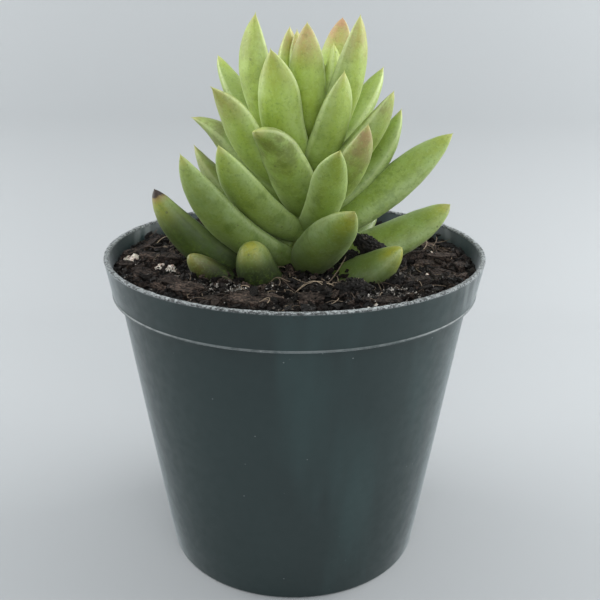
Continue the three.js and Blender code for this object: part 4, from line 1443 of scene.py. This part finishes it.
def shape_leaf(mesh, leaf, unevenness):
    """Gives a straight blank the leaf's fleshy section and carries it along the leaf's spine."""
    points = read_points(mesh)
    share = points[:, 2]
    pole = np.hypot(points[:, 0], points[:, 1]) < 0.5
    angle = np.arctan2(points[:, 1], points[:, 0])
    reach = 1 + TIP_POINT * (1 - 0.7 * max(leaf.blunt, 0)) / leaf.length
    start = 0.07
    along = start + (reach - start) * (1 - (1 - share) ** 1.45)
    last_ring = along[~pole].max()
    along = np.where(pole & (share < 0.5), start - 0.012, along)
    along = np.where(pole & (share > 0.5), reach, along)
    if last_ring >= reach:
        squeeze = (reach - start - 0.002) / (last_ring - start)
        along = np.where(pole, along, start + (along - start) * squeeze)
    inside = np.minimum(along, 0.999)
    half_width = width_profile(inside, leaf.blunt) * leaf.width / 2
    half_thickness = thickness_profile(inside, leaf.blunt) * leaf.width * leaf.thickness_ratio / 2
    spike = 0.30 * MM * np.clip((reach - along) / (reach - 0.97), 0, 1) ** 0.7
    half_width = np.maximum(half_width, spike)
    half_thickness = np.maximum(half_thickness, spike)
    rounded_root = np.clip((along - start) / 0.03, 0, 1) ** 0.5 * 0.3 + 0.7
    half_width = half_width * rounded_root
    half_thickness = half_thickness * rounded_root

    sine, cosine = np.sin(angle), np.cos(angle)
    bulge = np.where(sine > 0, UPPER_BULGE, LOWER_BULGE)
    x = np.where(pole, 0, cosine * half_width)
    crispness = 1.06 if leaf.order < 30 else 1.0
    y = np.where(pole, 0, np.sign(sine) * np.abs(sine) ** crispness * half_thickness * bulge)
    swell = np.empty(len(points))
    seed = leaf.order * 7.31
    for i in range(len(points)):
        place = Vector((cosine[i] * 0.9, sine[i] * 0.9, along[i] * leaf.length / (6 * MM)))
        broad = noise.noise(place + Vector((seed, 0, 0)))
        fine = noise.noise(place * 2.7 + Vector((0, seed, 0)))
        swell[i] = broad + 0.4 * fine
    calm = np.clip(half_width / (3 * MM), 0, 1)
    x = x + np.where(pole, 0, cosine * swell * unevenness * calm)
    y = y + np.where(pole, 0, sine * swell * unevenness * calm)

    roll = math.radians(leaf.roll)
    _, across, up = leaf.directions(along)
    sideways = (x * math.cos(roll) - y * math.sin(roll))[:, None]
    outward = (x * math.sin(roll) + y * math.cos(roll))[:, None]
    write_points(mesh, leaf.spine(along) + across * sideways + up * outward)
    write_attribute(mesh, "along", np.clip(along, 0, 1))
    write_attribute(mesh, "margin", np.where(pole, 0.5, np.abs(cosine)))
    skin = np.stack([cosine * 0.006, sine * 0.006, along * leaf.length], axis=-1)
    write_vectors(mesh, "skin", skin + np.array([seed * 0.01, 0, 0]))
    for key in ("age", "blush", "gold", "olive", "dead", "deep_green_and_shade"):
        write_attribute(mesh, key, np.full(len(points), getattr(leaf, key)))


def all_leaves():
    """Every leaf that has left the growing tip."""
    chances = seeded(5)
    seen = [seen_leaf(*row) for row in SEEN_LEAVES]
    unseen = [unseen_leaf(order, turn, chances) for order, turn in UNSEEN_LEAVES]
    return seen + unseen


def copy_blank(blank, name):
    leaf = blank.copy()
    leaf.data = blank.data.copy()
    leaf.name = leaf.data.name = name
    bpy.context.scene.collection.objects.link(leaf)
    return leaf


# Stage


def model_sweep():
    """A floor that bends up into a backdrop behind the pot."""
    bpy.ops.mesh.primitive_plane_add(size=1, location=(0, -0.2, 0))
    sweep = take_new_object("plain_sweep")
    sweep.scale = (2.4, 1.0, 1)
    bpy.ops.object.transform_apply()
    fold = 0.3
    select_places(sweep, lambda place: place.y > 0)
    bpy.ops.mesh.extrude_region_move(TRANSFORM_OT_translate={"value": (0, 0.16, 1.2)})
    close_editing()
    select_places(sweep, lambda place: abs(place.y - fold) < 1e-6)
    bpy.ops.mesh.select_mode(type="EDGE")
    bpy.ops.mesh.bevel(offset=0.1, segments=24, affect="EDGES")
    close_editing()
    smooth(sweep, 180)
    return sweep


def add_lamp(name, place, size, power):
    """Adds a soft lamp that faces the plant."""
    light = bpy.data.lights.new(name, "AREA")
    light.shape = "RECTANGLE"
    light.size, light.size_y = size
    light.energy = power
    lamp = bpy.data.objects.new(name, light)
    bpy.context.scene.collection.objects.link(lamp)
    aim = Vector(LAMP_AIM) - Vector(place)
    facing = aim.to_track_quat("-Z", "Y").to_matrix().to_4x4()
    lamp.matrix_world = Matrix.Translation(place) @ facing


def set_even_light(strength):
    world = bpy.data.worlds.new("even_light")
    world.use_nodes = True
    background = world.node_tree.nodes["Background"]
    background.inputs["Color"].default_value = (0.86, 0.93, 1.0, 1)
    background.inputs["Strength"].default_value = strength
    bpy.context.scene.world = world


def place_camera():
    camera = bpy.data.objects.new("camera", bpy.data.cameras.new("camera"))
    camera.data.lens = CAMERA_LENS
    camera.data.sensor_width = 36
    camera.data.clip_start = 0.01
    turn = Matrix.Rotation(CAMERA_TILT, 4, "X") @ Matrix.Rotation(CAMERA_ROLL, 4, "Z")
    camera.matrix_world = Matrix.Translation(CAMERA_PLACE) @ turn
    bpy.context.scene.collection.objects.link(camera)
    bpy.context.scene.camera = camera


# Operators


class SUCCULENT_OT_add_pot(bpy.types.Operator):
    """Add the nursery pot, with its band, worn lip and drain holes"""

    bl_idname = "succulent.add_pot"
    bl_label = "Add Pot"

    def execute(self, context):
        settings = context.scene.succulent_pot
        dress(model_pot(settings), "pot_plastic", "pot", material=moulded_plastic(settings))
        return {"FINISHED"}


class SUCCULENT_OT_add_soil(bpy.types.Operator):
    """Add the potting mix that fills the pot, and the crumbs and clods on it"""

    bl_idname = "succulent.add_soil"
    bl_label = "Add Potting Mix"

    def execute(self, context):
        settings = context.scene.succulent_soil
        mix = damp_mix(settings)
        dress(model_soil(), "potting_mix", "soil", material=mix)
        dress(model_crumbs(settings.crumb_count), "potting_mix", material=mix)
        dress(model_clods(), "potting_mix", material=mix)
        return {"FINISHED"}


class SUCCULENT_OT_add_bark(bpy.types.Operator):
    """Add the chips of bark that lie in the potting mix"""

    bl_idname = "succulent.add_bark"
    bl_label = "Add Bark"

    def execute(self, context):
        settings = context.scene.succulent_soil
        bark = dry_bark(settings)
        dress(model_large_chips(), "potting_mix", material=bark)
        middling = model_chips("bark_chips", 70, settings.chip_count // 9, 4, (2.6, 6.5), 1.3)
        dress(middling, "potting_mix", material=bark)
        small = model_chips("small_bark_chips", 80, settings.chip_count, 1, (1.2, 4.2), 2.0)
        dress(small, "potting_mix", material=bark)
        return {"FINISHED"}


class SUCCULENT_OT_add_grains(bpy.types.Operator):
    """Add the lumps of perlite and the pale grit"""

    bl_idname = "succulent.add_grains"
    bl_label = "Add Perlite and Grit"

    def execute(self, context):
        settings = context.scene.succulent_soil
        dress(model_perlite(), "potting_mix", material=porous_perlite(settings))
        dress(model_grit(settings.grit_count), "potting_mix", material=sharp_grit())
        return {"FINISHED"}


class SUCCULENT_OT_add_fibres(bpy.types.Operator):
    """Add the fine roots and fibres on the potting mix"""

    bl_idname = "succulent.add_fibres"
    bl_label = "Add Fibres"

    def execute(self, context):
        count = context.scene.succulent_soil.fibre_count
        dress(model_fibres(count), "potting_mix", material=dry_fibre())
        return {"FINISHED"}


class SUCCULENT_OT_add_plant(bpy.types.Operator):
    """Add the stem, the growing tip and every leaf on its place in the spiral"""

    bl_idname = "succulent.add_plant"
    bl_label = "Add Plant"

    def execute(self, context):
        settings = context.scene.succulent_leaf
        skin = waxy_leaf_skin(settings)
        blank = ringed_bar("leaf_blank", BLANK_SIDES, BLANK_RINGS - 2)
        for leaf in all_leaves():
            piece = copy_blank(blank, f"fleshy_leaf_{leaf.order:02d}")
            shape_leaf(piece.data, leaf, settings.unevenness)
            face_outward(piece)
            smooth(piece, 60)
            slot = "upper_leaf_skin" if leaf.order <= 16 else "lower_leaf_skin"
            dress(piece, slot, f"leaf_{leaf.order:02d}", material=skin)
        for order, turn in BUD_LEAVES:
            piece = copy_blank(blank, f"bud_leaf_{-order}")
            shape_leaf(piece.data, bud_leaf(order, turn), settings.unevenness * 0.5)
            face_outward(piece)
            smooth(piece, 60)
            dress(piece, "stem_skin", material=skin)
        bpy.data.objects.remove(blank)
        dress(model_stem(), "stem_skin", "stem", material=stem_skin())
        return {"FINISHED"}


class SUCCULENT_OT_set_stage(bpy.types.Operator):
    """Set the plain sweep, the soft light and the camera"""

    bl_idname = "succulent.set_stage"
    bl_label = "Set Stage"

    def execute(self, context):
        settings = context.scene.succulent_stage
        sweep = model_sweep()
        sweep.data.materials.append(plain_paper(settings.paper))
        set_even_light(settings.sky_strength)
        for name, place, size, share in LAMPS:
            add_lamp(name, place, size, settings.lamp_power * share)
        place_camera()
        context.scene.view_settings.view_transform = "Standard"
        return {"FINISHED"}


class SUCCULENT_PT_sidebar(bpy.types.Panel):
    """The operators and settings of the potted succulent."""

    bl_idname = "SUCCULENT_PT_sidebar"
    bl_label = "Potted Succulent"
    bl_space_type = "VIEW_3D"
    bl_region_type = "UI"
    bl_category = "Succulent"

    def draw(self, context):
        for step in STEPS:
            self.layout.operator(step.bl_idname)
        for key, group in SETTINGS.items():
            box = self.layout.box()
            for name in group.__annotations__:
                box.prop(getattr(context.scene, key), name)


SETTINGS = {
    "succulent_pot": PotSettings,
    "succulent_soil": SoilSettings,
    "succulent_leaf": LeafSettings,
    "succulent_stage": StageSettings,
}
STEPS = [
    SUCCULENT_OT_set_stage,
    SUCCULENT_OT_add_pot,
    SUCCULENT_OT_add_soil,
    SUCCULENT_OT_add_bark,
    SUCCULENT_OT_add_grains,
    SUCCULENT_OT_add_fibres,
    SUCCULENT_OT_add_plant,
]


def register():
    for group in SETTINGS.values():
        bpy.utils.register_class(group)
    for step in STEPS:
        bpy.utils.register_class(step)
    bpy.utils.register_class(SUCCULENT_PT_sidebar)
    for key, group in SETTINGS.items():
        setattr(bpy.types.Scene, key, PointerProperty(type=group))


def unregister():
    for key in SETTINGS:
        delattr(bpy.types.Scene, key)
    bpy.utils.unregister_class(SUCCULENT_PT_sidebar)
    for step in reversed(STEPS):
        bpy.utils.unregister_class(step)
    for group in reversed(list(SETTINGS.values())):
        bpy.utils.unregister_class(group)


def main():
    register()
    bpy.ops.succulent.set_stage()
    bpy.ops.succulent.add_pot()
    bpy.ops.succulent.add_soil()
    bpy.ops.succulent.add_bark()
    bpy.ops.succulent.add_grains()
    bpy.ops.succulent.add_fibres()
    bpy.ops.succulent.add_plant()


if __name__ == "__main__":
    main()
